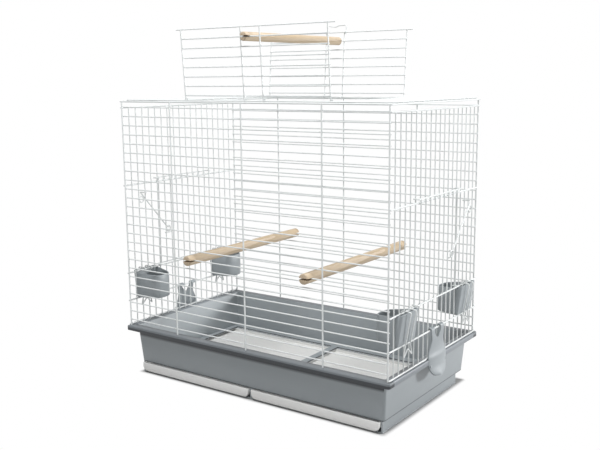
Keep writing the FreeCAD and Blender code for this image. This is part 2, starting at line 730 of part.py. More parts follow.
# Drawers. A shallow tray with a taller front plate whose lower corners are round.
def drawer(label, turn):
    body = doc.addObject("PartDesign::Body", label)
    near = "partition / 2 + run_gap"
    far = "%s - tray_wall - run_gap" % HOUSE_X
    if turn < 0:
        near, far = "0 - ( %s )" % far, "0 - ( %s )" % near
    low = "plate + run_gap"
    inner = "0 - drawer_face + drawer_front_t"
    face = outline(body, "XY_Plane", label + "_face", [rectangle(near, far, "0 - drawer_face", inner)],
                   "%s + drawer_lift" % low)
    front = pad(body, face, "drawer_front_h", label + "_front")

    def low_corner(edge):
        box = edge.BoundBox
        flat = box.ZMax < num("%s + drawer_lift" % low) + 0.1 and box.ZLength < 0.01
        return flat and box.XLength < 0.01 and box.YLength > 1

    fillet(body, front, low_corner, "drawer_corner", label + "_corners")
    block = outline(body, "XY_Plane", label + "_block", [rectangle(near, far, inner, "drawer_back")], low)
    pad(body, block, "drawer_side_h", label + "_tray")
    hollow = outline(body, "XY_Plane", label + "_hollow",
                     [rectangle("%s + drawer_wall" % near, "%s - drawer_wall" % far, inner,
                                "drawer_back - drawer_wall")], "%s + plate" % low)
    pocket(body, hollow, label + "_room", "drawer_side_h")
    node(body, label)


drawer("left_drawer", -1)
drawer("right_drawer", 1)


# Feeder cups. A tapered trough that sits in the side panel between two rails.
# Its outer wall leans out and stands higher than the rest.
def feeder_cup(label, side, way):
    floor_z = "rail_cup + frame_radius + run_gap"

    def plan(out, less):
        inner = "0 - cup_in + %s" % less
        outer = "%s - ( %s )" % (out, less)
        return [(inner, "0 - cup_half_in + %s" % less), ("0", "0 - cup_half + %s" % less),
                (outer, "0 - cup_half + %s" % less), (outer, "cup_half - %s" % less),
                ("0", "cup_half - %s" % less), (inner, "cup_half_in - %s" % less)]

    def trough(name, less, low, high):
        """A tapered block whose outer wall leans out, drawn in by a thickness."""
        block = doc.addObject("PartDesign::Body", name)
        wide = outline(block, "XY_Plane", name + "_plan", [plan("2 * cup_out_top", less)], low)
        pad(block, wide, "( %s ) - ( %s )" % (high, low), name + "_block")
        slope = "( cup_out_top - cup_out_low ) / ( cup_top - ( %s ) )" % floor_z
        edge = []
        for up in ("%s - cup_wall" % low, "%s + cup_wall" % high):
            edge.append(("cup_out_low - %s + ( %s - ( %s ) ) * %s" % (less, up, floor_z, slope), up))
        outside = [edge[0], ("3 * cup_out_top", edge[0][1]), ("3 * cup_out_top", edge[1][1]), edge[1]]
        pocket(block, outline(block, "XZ_Plane", name + "_lean", [outside]), name + "_lean_cut")
        return block

    solid = trough(label + "_solid", "0", floor_z, "cup_top")
    step = "2 * frame_radius - weld_bite + frame_radius + run_gap"
    under = "rail_feed - frame_radius - run_gap"
    inside = "0 - 1.2 * cup_in"
    over = "cup_top + cup_wall"
    drop = [(inside, "cup_rim_in"), (step, under), (step, over), (inside, over)]
    pocket(solid, outline(solid, "XZ_Plane", label + "_rim", [drop]), label + "_rim_cut")
    body = doc.addObject("Part::Cut", label)
    body.Base = solid
    body.Tool = trough(label + "_room", "cup_wall", "%s + cup_wall" % floor_z, "cup_top + cup_wall")
    place(body, "%d * cage_length / 2" % side, "%d * cup_y" % way, RIM, 0 if side > 0 else 180)
    node(body, label)


# Feeder bails. One wire each. Two eyes turn on the upper rail, two legs pass in
# front of the cup and a bent end lies below the lower rail.
def feeder_bail(label, side, way):
    radius = num("frame_radius + run_gap + wire_radius")
    drop = num("rail_cup - rail_feed")
    reach = num("bail_reach")
    half = num("bail_half")
    leg = []
    for along, up in reversed(eye(radius, 90, 230, 5)):
        leg.append(V(along, -half, up))
    foot = num("bail_foot")
    bends = [V(0, -half, radius), V(reach, -half, radius), V(foot, -half, drop),
             V(foot, -half - num("bail_splay"), drop - num("bail_tail")), V(foot, 0, drop - num("bail_notch"))]
    bends = bends + [V(spot.x, -spot.y, spot.z) for spot in reversed(bends[:-1])]
    path = leg + soften(bends, num("bail_bend"))[1:-1] + [V(spot.x, -spot.y, spot.z) for spot in reversed(leg)]
    bail = wire_object(label, path, num("wire_radius"))
    place(bail, "%d * %s" % (side, RAIL_X), "%d * cup_y" % way, "base_height + rail_feed", 0 if side > 0 else 180)
    node(bail, label)


for side, side_name in ((-1, "left"), (1, "right")):
    for way, way_name in ((-1, "front"), (1, "back")):
        feeder_cup("%s_%s_cup" % (side_name, way_name), side, way)
        feeder_bail("%s_%s_bail" % (side_name, way_name), side, way)


# Side doors. Upright wires in front of the rails. The upper and lower rails of
# the door are bent round two fixed wires and slide up on them. A short keeper
# between two of the wires lies under the tip of the hook.
def side_door(label, turn):
    plane = "%s + frame_radius + wire_radius + door_gap" % RAIL_X
    across_x = "%s + 2 * wire_radius - weld_bite" % plane
    wires = []
    count = int(round(2 * num("door_half") / num("wire_pitch"))) + 1
    for index in range(count):
        spot = "( %d - %d ) * wire_pitch" % (index, (count - 1) // 2)
        wires.append(rod("%s_wire_%d" % (label, index), "Z", "base_height + door_low - wire_radius",
                         "base_height + door_high + wire_radius", plane, spot, "wire_radius"))
    wires.append(rod(label + "_keeper", "Y", "hook_tip_y - wire_pitch / 2 - wire_radius",
                     "hook_tip_y + wire_pitch / 2 + wire_radius", across_x, "base_height + door_mid",
                     "wire_radius"))
    guide = num("door_guide")
    clear = num("2 * wire_radius + door_gap")
    inside = num(SIDE_X) - clear
    outside = num(across_x)
    for name, text in (("low", "door_low"), ("high", "door_high")):
        z = num("base_height + " + text)
        half = [V(inside, guide - clear, z), V(inside, guide + clear, z), V(outside, guide + clear, z)]
        path = half + [V(spot.x, -spot.y, z) for spot in reversed(half)]
        wires.append(wire_object("%s_%s" % (label, name), soften(path, num("1.2 * wire_radius")), num("wire_radius"), 8))
    door = group(label, wires)
    door.Placement = FreeCAD.Placement(V(0, 0, 0), FreeCAD.Rotation(V(0, 0, 1), turn))


side_door("right_door", 0)
side_door("left_door", 180)


# Door hooks. An eye on a fixed wire, a slanting shank in front of the door, a
# tip over the keeper of the door, a finger ring beyond the tip and a ring under
# the upper end of the shank, level with the fixed wire.
def door_hook(label, turn):
    radius = num(EYE)
    x = num(SIDE_X)
    y = num("hook_y")
    z = num("base_height + hook_z")
    out = num("%s + frame_radius + run_gap + 5 * wire_radius + hook_gap" % RAIL_X)
    path = []
    for along, across in reversed(eye(radius, 90, 290, 6)):
        path.append(V(x + along, y + across, z))
    tip_y = num("hook_tip_y")
    tip_z = num("base_height + hook_tip_z")
    bends = [V(x, y + radius, z), V(out, y + radius, z), V(out, tip_y, tip_z),
             V(x + num("hook_tip"), tip_y, tip_z)]
    shaft = soften(bends, num("2 * wire_radius"))
    shank = wire_object(label + "_shank", path + shaft[1:], num("wire_radius"))
    ring_r = num("hook_ring")
    reach = ring_r + num("2 * wire_radius - weld_bite")
    down = (bends[2] - bends[1]).normalize()
    beside = V(0, -down.z, down.y)
    hang = (radius + beside.y * reach) / -down.y
    wires = [shank]
    for name, touch, away in (("upper", bends[1] + down * hang, beside), ("lower", shaft[3], down)):
        middle = touch + away * reach
        begin = math.degrees(math.atan2(-away.z, -away.y))
        loop = [V(middle.x, middle.y + along, middle.z + up) for along, up in eye(ring_r, begin, 350, 9)]
        wires.append(wire_object("%s_%s_ring" % (label, name), loop, num("wire_radius")))
    hook = group(label, wires)
    hook.Placement = FreeCAD.Placement(V(0, 0, 0), FreeCAD.Rotation(V(0, 0, 1), turn))


door_hook("right_hook", 0)
door_hook("left_hook", 180)


# Base clips. Two prongs hook over the lower rail, the plate passes outside the
# rim, a catch lies under the lip of the rim and the round end is the handle.
# The outline is given as shares of the length and of the half width.
CLIP_EDGE = [(0.154, 0.655), (0.252, 0.672), (0.392, 0.81), (0.517, 0.966), (0.643, 1.0),
             (0.769, 0.948), (0.881, 0.793), (0.965, 0.552), (1.007, 0.276)]


def base_clip(label, turn):
    body = doc.addObject("PartDesign::Body", label)
    hole = "frame_radius + run_gap"
    rim = "rim_out - 2 * frame_radius + weld_bite"
    under = "0 - rail_cup - rim_depth - door_gap"
    bottom = "0 - rail_cup - clip_low"
    inner = [("0 - ( %s )" % hole, "0 - clip_lip"), ("0 - ( %s )" % hole, hole), (hole, hole),
             (hole, "clip_lean - rail_cup"), ("%s + clip_off" % rim, "clip_foot - rail_cup"),
             ("%s + 1.5 * clip_off" % rim, under), ("%s - clip_catch" % rim, under),
             ("%s - clip_catch" % rim, "%s - clip_catch_t" % under),
             ("%s + 2 * clip_off" % rim, "%s - clip_catch_h" % under), ("%s + clip_flare" % rim, bottom)]
    outer = [("%s + clip_flare + clip_t" % rim, bottom),
             ("%s + 2.25 * clip_off + clip_t" % rim, "%s - clip_catch_h + 0.2 * clip_t" % under),
             ("%s + 1.125 * clip_off + clip_t" % rim, "clip_foot + 0.4 * clip_t - rail_cup"),
             ("%s + clip_t" % hole, "clip_lean + 0.4 * clip_t - rail_cup"),
             ("%s + clip_t" % hole, "%s + 0.6 * clip_t" % hole), ("%s + 0.6 * clip_t" % hole, "%s + clip_t" % hole),
             ("0 - ( %s ) - 0.6 * clip_t" % hole, "%s + clip_t" % hole),
             ("0 - ( %s ) - 0.85 * clip_t" % hole, "%s + 0.6 * clip_t" % hole),
             ("0 - ( %s ) - 0.85 * clip_t" % hole, "0 - clip_lip")]
    side = outline(body, "XZ_Plane", label + "_side", [inner + outer])
    pad_both(body, side, "2.5 * clip_round", label + "_plate")
    top = "%s + 1.4 * clip_t" % hole
    half = [("clip_half", top), ("clip_half", "0 - clip_step")]
    for down, across in CLIP_EDGE:
        half.append(("%.3f * clip_round" % across, "0 - %.3f * ( rail_cup + clip_low )" % down))
    notch = [("0 - clip_prong", top), ("0 - clip_prong", "0 - clip_step"), ("0 - clip_vee", "0 - clip_notch"),
             ("clip_vee", "0 - clip_notch"), ("clip_prong", "0 - clip_step"), ("clip_prong", top)]
    shape = notch + half + [("0 - ( %s )" % across, up) for across, up in reversed(half)]
    wide = "2 * clip_round"
    frame = rectangle("0 - %s" % wide, wide, "0 - 2 * rail_cup", "rail_cup")
    pocket(body, outline(body, "YZ_Plane", label + "_front", [frame, shape]), label + "_trim")
    place(body, "%s" % RAIL_X if turn == 0 else "0 - %s" % RAIL_X, "0", "base_height + rail_cup", turn)
    node(body, label)


base_clip("right_clip", 0)
base_clip("left_clip", 180)

doc.recompute()

faults = []
for obj in doc.Objects:
    if "Invalid" in obj.State or "Error" in obj.State:
        faults.append("%s is %s" % (obj.Label, obj.State))
for piece in NODES:
    if piece.Shape.isNull() or not piece.Shape.isValid() or not piece.Shape.Solids:
        faults.append("%s has no sound shape" % piece.Label)
if faults:
    raise RuntimeError("; ".join(faults))

os.makedirs("parts", exist_ok=True)
for piece in NODES:
    piece.Shape.exportStep("parts/%s.step" % piece.Label)
    box = piece.Shape.BoundBox
    print("%-18s solids %3d  x %.1f %.1f  y %.1f %.1f  z %.1f %.1f" % (
        piece.Label, len(piece.Shape.Solids), box.XMin, box.XMax, box.YMin, box.YMax, box.ZMin, box.ZMax))
print(len(NODES), "pieces")
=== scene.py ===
"""Bird cage dressed for the studio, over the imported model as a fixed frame.

Every piece is written in millimetres in the frame of the model: +Z up, +X to the right
and -Y to the front, with the origin under the middle of the base.
"""
import logging
import math
from dataclasses import dataclass, field
from enum import Enum

import bpy
from mathutils import Matrix, Vector


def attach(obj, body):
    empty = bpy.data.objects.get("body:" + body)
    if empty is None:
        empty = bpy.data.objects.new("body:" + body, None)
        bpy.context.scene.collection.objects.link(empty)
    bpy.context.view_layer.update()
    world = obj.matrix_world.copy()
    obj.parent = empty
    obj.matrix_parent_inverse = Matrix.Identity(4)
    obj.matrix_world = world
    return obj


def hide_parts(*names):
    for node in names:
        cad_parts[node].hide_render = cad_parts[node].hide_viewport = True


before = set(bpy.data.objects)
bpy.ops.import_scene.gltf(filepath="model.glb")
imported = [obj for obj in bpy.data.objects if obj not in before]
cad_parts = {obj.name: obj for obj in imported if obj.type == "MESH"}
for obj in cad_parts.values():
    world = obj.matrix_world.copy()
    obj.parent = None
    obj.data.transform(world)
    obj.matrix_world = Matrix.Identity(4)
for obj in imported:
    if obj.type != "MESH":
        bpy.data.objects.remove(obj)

LOG = logging.getLogger("bird_cage")
MM = 0.001
# Degrees that an eye is bent round, and the most of a straight stretch that one bend takes.
EYE_SWEEP = 290.0
MOST_BEND = 0.45
Path = list[Vector]
Loop = list[Vector]
Pairs = list[tuple[float, float]]
Spot = tuple[float, float, float]


class Place(Enum):
    """A place on the cage that the names of nodes mention."""

    @property
    def word(self) -> str:
        """The place as it stands in a node's name."""
        return self.name.lower()


class Side(Place):
    """The left or the right end of the cage."""

    LEFT = -1
    RIGHT = 1


class End(Place):
    """The front or the back of the cage."""

    FRONT = -1
    BACK = 1


# Materials


def linear(code: str) -> tuple[float, float, float, float]:
    """Turns a colour written as sRGB hex into the linear colour that a shader takes.

    Args:
        code: six hex digits after a hash sign.

    Returns:
        Red, green and blue from 0 to 1, and an alpha of 1.
    """
    parts = [int(code[at:at + 2], 16) / 255 for at in (1, 3, 5)]
    red, green, blue = [p / 12.92 if p <= 0.04045 else ((p + 0.055) / 1.055) ** 2.4 for p in parts]
    return red, green, blue, 1.0


def per_mm(size: float) -> float:
    """The texture scale that makes a pattern about this many millimetres across."""
    return 1000.0 / size


def empty_tree(owner: bpy.types.Material | bpy.types.World) -> bpy.types.NodeTree:
    """Gives a material or a world an empty set of nodes.

    Args:
        owner: the material or world.

    Returns:
        Its nodes.
    """
    owner.use_nodes = True
    owner.node_tree.nodes.clear()
    return owner.node_tree


def add_node(tree: bpy.types.NodeTree, kind: str, inputs: dict | None = None,
             **settings: object) -> bpy.types.Node:
    """Adds one node to a shader.

    Args:
        tree: the shader's nodes.
        kind: the node's type name.
        inputs: what each input takes by name or number, a value or another node's output.
        settings: the node's own options.

    Returns:
        The new node.
    """
    node = tree.nodes.new(kind)
    for name, value in settings.items():
        setattr(node, name, value)
    for key, value in (inputs or {}).items():
        if isinstance(value, bpy.types.NodeSocket):
            tree.links.new(value, node.inputs[key])
        else:
            node.inputs[key].default_value = value
    return node


@dataclass(frozen=True)
class Finish:
    """A real material and how it was made, as a procedural shader."""

    name: str
    slot: str
    light: str
    dark: str
    smoothest: float
    roughest: float

    def material(self) -> bpy.types.Material:
        """Builds the material, unless it was built before.

        Returns:
            The material of this finish's name.
        """
        made = bpy.data.materials.get(self.name)
        if made:
            return made
        made = bpy.data.materials.new(self.name)
        tree = empty_tree(made)
        shader = add_node(tree, "ShaderNodeBsdfPrincipled", self.paint(tree))
        add_node(tree, "ShaderNodeOutputMaterial", {"Surface": shader.outputs["BSDF"]})
        return made

    def paint(self, tree: bpy.types.NodeTree) -> dict:
        """Adds the patterns and gives what the shader takes. Each material has its own way."""
        raise NotImplementedError

    def spread(self, tree: bpy.types.NodeTree, amount: bpy.types.NodeSocket) -> dict:
        """Lets one pattern drive the colour and the roughness between this finish's limits.

        Args:
            tree: the material's nodes.
            amount: the pattern, from 0 to 1.

        Returns:
            What the shader takes for both.
        """
        colour = add_node(tree, "ShaderNodeMix",
                          {"Factor": amount, "A": linear(self.light), "B": linear(self.dark)},
                          data_type="RGBA")
        rough = add_node(tree, "ShaderNodeMapRange",
                         {"Value": amount, "To Min": self.smoothest, "To Max": self.roughest})
        return {"Base Color": colour.outputs["Result"], "Roughness": rough.outputs["Result"]}


@dataclass(frozen=True)
class EnamelledWire(Finish):
    """Steel wire dipped in white epoxy enamel and baked after welding."""

    patch: float = 14.0
    peel: float = 1.2

    def paint(self, tree: bpy.types.NodeTree) -> dict:
        """The dip runs a little before it sets, so gloss and white vary in patches along a wire.

        Args:
            tree: the material's nodes.

        Returns:
            What the shader takes.
        """
        place = add_node(tree, "ShaderNodeTexCoord").outputs["Object"]
        runs = add_node(tree, "ShaderNodeTexNoise",
                        {"Vector": place, "Scale": per_mm(self.patch), "Detail": 3.0})
        # Orange peel of about 1 mm, which catches broken glints along the wire.
        peel = add_node(tree, "ShaderNodeTexNoise",
                        {"Vector": place, "Scale": per_mm(self.peel), "Detail": 1.0})
        bump = add_node(tree, "ShaderNodeBump",
                        {"Height": peel.outputs["Fac"], "Strength": 0.18, "Distance": 0.0002})
        return self.spread(tree, runs.outputs["Fac"]) | {
            "Normal": bump.outputs["Normal"], "Coat Weight": 0.35, "Coat Roughness": 0.12}


@dataclass(frozen=True)
class MouldedPlastic(Finish):
    """Injection-moulded polypropylene or polystyrene with a fine spark-eroded mould texture."""

    grain: float = 0.9
    cloud: float = 70.0

    def paint(self, tree: bpy.types.NodeTree) -> dict:
        """The mould's grain breaks up highlights, and the melt leaves faint cloudy flow marks.

        Args:
            tree: the material's nodes.

        Returns:
            What the shader takes.
        """
        place = add_node(tree, "ShaderNodeTexCoord").outputs["Object"]
        drawn = add_node(tree, "ShaderNodeMapping", {"Vector": place, "Scale": (0.35, 1.0, 1.6)})
        flow = add_node(tree, "ShaderNodeTexNoise",
                        {"Vector": drawn.outputs["Vector"], "Scale": per_mm(self.cloud), "Detail": 4.0,
                         "Roughness": 0.55})
        # The real grain is about 0.2 mm and is drawn coarser so that it shows at all.
        spark = add_node(tree, "ShaderNodeTexNoise",
                         {"Vector": place, "Scale": per_mm(self.grain), "Detail": 2.0, "Roughness": 0.6})
        bump = add_node(tree, "ShaderNodeBump",
                        {"Height": spark.outputs["Fac"], "Strength": 0.22, "Distance": 0.00012})
        return self.spread(tree, flow.outputs["Fac"]) | {
            "Normal": bump.outputs["Normal"], "Specular IOR Level": 0.42}


@dataclass(frozen=True)
class TrayPlastic(MouldedPlastic):
    """The same polypropylene on the tray, with painted shade on the lip, on the strip of wall under it and
    on the foot where the tray sits on the housing.
    """

    # The next three colours are painted shade under the lip: the first on the ends, the second along the
    # front and the back, the darkest on the lower lip and the wall under it along the front and the back.
    rim: str = "#80858a"
    front: str = "#686d71"
    edge: str = "#383b3f"
    # The next colour is painted shade on the foot of the tray, where it sits on the housing.
    foot_shade: str = "#6a6f72"
    shade_low: float = 62.5
    rim_low: float = 67.0
    rim_high: float = 79.5
    foot_shade_top: float = 20.2
    rim_x: float = 241.2
    rim_y: float = 133.7

    def paint(self, tree: bpy.types.NodeTree) -> dict:
        """Paints shade as darker tones on the lip, on the strip of wall under it and on the foot.

        The painted shade is darkest on the lip along the front and the back.

        Args:
            tree: the material's nodes.

        Returns:
            What the shader takes.
        """
        inputs = super().paint(tree)
        place = add_node(tree, "ShaderNodeTexCoord").outputs["Object"]
        axes = add_node(tree, "ShaderNodeSeparateXYZ", {"Vector": place}).outputs
        height, beyond = axes["Z"], []
        for axis, edge in (("X", self.rim_x), ("Y", self.rim_y)):
            far = add_node(tree, "ShaderNodeMath", {0: axes[axis]}, operation="ABSOLUTE").outputs[0]
            past = add_node(tree, "ShaderNodeMath", {0: far, 1: edge * MM}, operation="GREATER_THAN")
            beyond.append(past.outputs[0])
        outside = add_node(tree, "ShaderNodeMath", {0: beyond[0], 1: beyond[1]}, operation="MAXIMUM")
        # Painted shade fades in up the wall from shade_low to rim_low, only outside the top of the wall.
        above = add_node(tree, "ShaderNodeMapRange",
                         {"Value": height, "From Min": self.shade_low * MM, "From Max": self.rim_low * MM})
        band = add_node(tree, "ShaderNodeMath", {0: outside.outputs[0], 1: above.outputs["Result"]},
                        operation="MULTIPLY")
        # The darkest painted shade lies on the lower lip and the wall under it, along the front and the
        # back.
        below = add_node(tree, "ShaderNodeMath", {0: height, 1: self.rim_high * MM}, operation="LESS_THAN")
        lip = add_node(tree, "ShaderNodeMath", {0: below.outputs[0], 1: beyond[1]}, operation="MULTIPLY")
        # Painted shade on the foot of the tray, up to the top of the strip where it sits on the housing.
        foot = add_node(tree, "ShaderNodeMath", {0: height, 1: self.foot_shade_top * MM}, operation="LESS_THAN")
        # Tones of the painted shade under the lip.
        tone: object = linear(self.rim)
        for mask, code in ((beyond[1], self.front), (lip.outputs[0], self.edge)):
            tone = add_node(tree, "ShaderNodeMix", {"Factor": mask, "A": tone, "B": linear(code)},
                            data_type="RGBA").outputs["Result"]
        walls = inputs["Base Color"]
        for mask, over in ((foot.outputs[0], linear(self.foot_shade)), (band.outputs[0], tone)):
            walls = add_node(tree, "ShaderNodeMix", {"Factor": mask, "A": walls, "B": over},
                             data_type="RGBA").outputs["Result"]
        return inputs | {"Base Color": walls}


@dataclass(frozen=True)
class TurnedWood(Finish):
    """Pale softwood dowel, turned and left unvarnished."""

    pore: str = "#9a8061"
    ring: float = 3.2
    fibre: float = 0.7

    def paint(self, tree: bpy.types.NodeTree) -> dict:
        """Growth rings run as slow bands along the rod and as arcs on its ends, with short dark fibres.

        Args:
            tree: the material's nodes.

        Returns:
            What the shader takes.
        """
        place = add_node(tree, "ShaderNodeTexCoord").outputs["Object"]
        # The heart of the trunk lies outside the rod, so the rings pass through as gentle arcs.
        offset = add_node(tree, "ShaderNodeMapping",
                          {"Vector": place, "Location": (0.021, 0.0, 0.013), "Rotation": (0.012, 0.0, 0.02)})
        # The texture's phase grows by 20 radians a unit, so this scale makes one ring of that size.
        rings = add_node(tree, "ShaderNodeTexWave",
                         {"Vector": offset.outputs["Vector"], "Scale": per_mm(self.ring) * math.tau / 20.0,
                          "Distortion": 1.6, "Detail": 2.0, "Detail Scale": 0.6},
                         wave_type="RINGS", rings_direction="Y", wave_profile="SAW")
        inputs = self.spread(tree, rings.outputs["Fac"])
        stretched = add_node(tree, "ShaderNodeMapping", {"Vector": place, "Scale": (1.0, 0.03, 1.0)})
        fibre = add_node(tree, "ShaderNodeTexNoise",
                         {"Vector": stretched.outputs["Vector"], "Scale": per_mm(self.fibre), "Detail": 3.0})
        dark = add_node(tree, "ShaderNodeMapRange",
                        {"Value": fibre.outputs["Fac"], "From Min": 0.56, "From Max": 0.74, "To Max": 0.55})
        mixed = add_node(tree, "ShaderNodeMix",
                         {"Factor": dark.outputs["Result"], "A": inputs["Base Color"],
                          "B": linear(self.pore)}, data_type="RGBA")
        bump = add_node(tree, "ShaderNodeBump",
                        {"Height": fibre.outputs["Fac"], "Strength": 0.35, "Distance": 0.0002})
        return inputs | {"Base Color": mixed.outputs["Result"], "Normal": bump.outputs["Normal"],
                         "Specular IOR Level": 0.25}


WIRE = EnamelledWire("steel_wire_dipped_in_white_enamel", "enamelled_wire",
                     light="#dde0e0", dark="#cfd3d3", smoothest=0.24, roughest=0.42)
GREY = MouldedPlastic("grey_polypropylene_injection_moulded", "grey_plastic",
                      light="#969c9f", dark="#8d9397", smoothest=0.36, roughest=0.5)
TRAY = TrayPlastic("grey_polypropylene_tray_with_polished_rim", "grey_plastic",
                   light="#999fa2", dark="#90969a", smoothest=0.36, roughest=0.5)
WHITE = MouldedPlastic("white_polystyrene_injection_moulded", "white_plastic",
                       light="#e6e6e5", dark="#dddddb", smoothest=0.28, roughest=0.4, grain=0.7)
WOOD = TurnedWood("softwood_dowel_turned_unvarnished", "perch_wood",
                  light="#c4b4a0", dark="#b09e84", smoothest=0.55, roughest=0.72)


# Shapes


def arc(radius: float, begin: float, sweep: float, steps: int) -> Pairs:
    """Points on a circle about the origin of a plane.

    Args:
        radius: in millimetres.
        begin: first angle in degrees.
        sweep: how far the arc goes, in degrees.
        steps: number of parts.

    Returns:
        Pairs of coordinates, ends included.
    """
    angles = [math.radians(begin + sweep * index / steps) for index in range(steps + 1)]
    return [(radius * math.cos(angle), radius * math.sin(angle)) for angle in angles]


def ring(radius: float, sides: int) -> Pairs:
    """Points evenly all round a circle."""
    return arc(radius, 0, 360 - 360 / sides, sides - 1)


def eased(first: Vector, corner: Vector, last: Vector, steps: int) -> Path:
    """Points of a smooth bend.

    Args:
        first: where the bend starts.
        corner: the sharp corner that it cuts.
        last: where the bend ends.
        steps: number of parts.

    Returns:
        The points, ends included.
    """
    shares = [index / steps for index in range(steps + 1)]
    return [first * (1 - t) ** 2 + corner * (2 * t * (1 - t)) + last * t ** 2 for t in shares]


def bent(points: Path, radius: float, steps: int = 5) -> Path:
    """Rounds each inner corner of a wire's path, as a bending pin leaves it.

    Args:
        points: the corners of the path.
        radius: how far before and after a corner the bend reaches.
        steps: parts in each bend.

    Returns:
        The path with its bends.
    """
    path = [points[0]]
    for before, here, after in zip(points, points[1:], points[2:]):
        back, ahead = before - here, after - here
        first = here + back * (min(radius, back.length * MOST_BEND) / back.length)
        last = here + ahead * (min(radius, ahead.length * MOST_BEND) / ahead.length)
        path += eased(first, here, last, steps)
    path.append(points[-1])
    return path


def mirrored(path: Path) -> Path:
    """The same path on the other side of the middle, run the other way."""
    return [Vector((spot.x, -spot.y, spot.z)) for spot in reversed(path)]


def blended(rows: list[tuple[float, ...]], at: float) -> list[float]:
    """Reads a smooth curve through a table whose first column falls.

    Args:
        rows: the table.
        at: where to read it, in the first column.

    Returns:
        The other columns at that place.
    """
    last = len(rows) - 1
    spot = next((index for index in range(last) if rows[index + 1][0] <= at), last - 1)
    a, b = rows[spot], rows[spot + 1]
    before, after = rows[max(spot - 1, 0)], rows[min(spot + 2, last)]
    t = min(max((a[0] - at) / (a[0] - b[0]), 0.0), 1.0)
    result = []
    for column in range(1, len(a)):
        p0, p1, p2, p3 = before[column], a[column], b[column], after[column]
        result.append(0.5 * (2 * p1 + (p2 - p0) * t + (2 * p0 - 5 * p1 + 4 * p2 - p3) * t ** 2
                             + (3 * p1 - p0 - 3 * p2 + p3) * t ** 3))
    return result


def rounded_loop(half_x: float, half_y: float, radius: float, z: float, steps: int = 6) -> Loop:
    """A level rectangle about the middle with round corners.

    Args:
        half_x: half its length.
        half_y: half its depth.
        radius: of its corners.
        z: its height.
        steps: parts in each corner.

    Returns:
        The loop.
    """
    loop = []
    for quarter, (sx, sy) in enumerate(((1, 1), (-1, 1), (-1, -1), (1, -1))):
        for x, y in arc(radius, quarter * 90, 90, steps):
            loop.append(Vector((sx * (half_x - radius) + x, sy * (half_y - radius) + y, z)))
    return loop


@dataclass
class Shape:
    """Vertices and faces of one piece, in millimetres."""

    verts: list[Vector] = field(default_factory=list)
    faces: list[tuple[int, ...]] = field(default_factory=list)

    def loft(self, loops: list[Loop], caps: bool = True, closed: bool = False, flip: bool = False) -> None:
        """Joins closed loops of equal length with quads.

        Args:
            loops: the loops in order.
            caps: whether the first and last loop get a face.
            closed: whether the last loop joins the first.
            flip: whether the loops run the other way, which turns the faces round.
        """
        count = len(loops[0])
        start = len(self.verts)
        for loop in loops:
            self.verts.extend(reversed(loop) if flip else loop)
        spans = len(loops) if closed else len(loops) - 1
        for row in range(spans):
            low = start + row * count
            high = start + (row + 1) % len(loops) * count
            for index in range(count):
                other = (index + 1) % count
                self.faces.append((low + index, low + other, high + other, high + index))
        if caps and not closed:
            self.faces.append(tuple(start + index for index in reversed(range(count))))
            top = start + (len(loops) - 1) * count
            self.faces.append(tuple(top + index for index in range(count)))

    def box(self, low: Spot, high: Spot) -> None:
        """Adds a box between two corners."""
        corners = ((low[0], low[1]), (high[0], low[1]), (high[0], high[1]), (low[0], high[1]))
        self.loft([[Vector((x, y, z)) for x, y in corners] for z in (low[2], high[2])])

    def wire(self, path: Path, radius: float, sides: int = 10) -> None:
        """Sweeps a round wire along a path, with the rounded ends that the enamel leaves.

        Args:
            path: the middle of the wire.
            radius: in millimetres.
            sides: faces round the wire.
        """
        along = (path[1] - path[0]).normalized()
        across = along.cross(Vector((0, 0, 1)) if abs(along.z) < 0.9 else Vector((1, 0, 0))).normalized()
        loops = []
        # Depth and width of the sections of a rounded end, in wire radii.
        ends = ((0.0, 0.35), (0.12, 0.72), (0.4, 1.0))
        for index, spot in enumerate(path):
            ahead = (path[index + 1] - spot).normalized() if index + 1 < len(path) else along
            turn = along.rotation_difference(ahead)
            half = along.lerp(ahead, 0.5).normalized()
            across = along.rotation_difference(half) @ across
            up = half.cross(across).normalized()
            stretch = 1.0 / max(math.cos(turn.angle / 2), 0.5)
            side = along.cross(ahead)
            lean = side.normalized().cross(half) if side.length > 1e-6 else None
            sections = [(0.0, 1.0)]
            if index == 0:
                sections = [(depth * radius, size) for depth, size in ends]
            elif index + 1 == len(path):
                sections = [(-depth * radius, size) for depth, size in reversed(ends)]
            for depth, size in sections:
                loop = []
                for u, v in ring(radius * size, sides):
                    reach = across * u + up * v
                    if lean is not None:
                        reach += lean * (reach.dot(lean) * (stretch - 1.0))
                    loop.append(spot + half * depth + reach)
                loops.append(loop)
            across = half.rotation_difference(ahead) @ across
            along = ahead
        self.loft(loops)

    def rod(self, axis: int, span: tuple[float, float], place: tuple[float, float], radius: float) -> None:
        """Adds a straight wire along an axis.

        Args:
            axis: 0, 1 or 2 for X, Y or Z.
            span: where it begins and ends along the axis.
            place: its other two coordinates.
            radius: in millimetres.
        """
        ends = []
        for along in span:
            spot = list(place)
            spot.insert(axis, along)
            ends.append(Vector(spot))
        self.wire(ends, radius)

    def moved(self, matrix: Matrix) -> None:
        """Moves every vertex."""
        self.verts = [matrix @ vert for vert in self.verts]

    def mesh(self, name: str, sharp: float) -> bpy.types.Object:
        """Makes an object of the shape.

        Args:
            name: the object's name.
            sharp: edges that turn by more than this many degrees stay sharp.

        Returns:
            The object, in metres.
        """
        data = bpy.data.meshes.new(name)
        data.from_pydata([tuple(vert * MM) for vert in self.verts], [], self.faces)
        data.update()
        data.shade_smooth()
        data.set_sharp_from_angle(angle=math.radians(sharp))
        made = bpy.data.objects.new(name, data)
        bpy.context.scene.collection.objects.link(made)
        return made


# Pieces


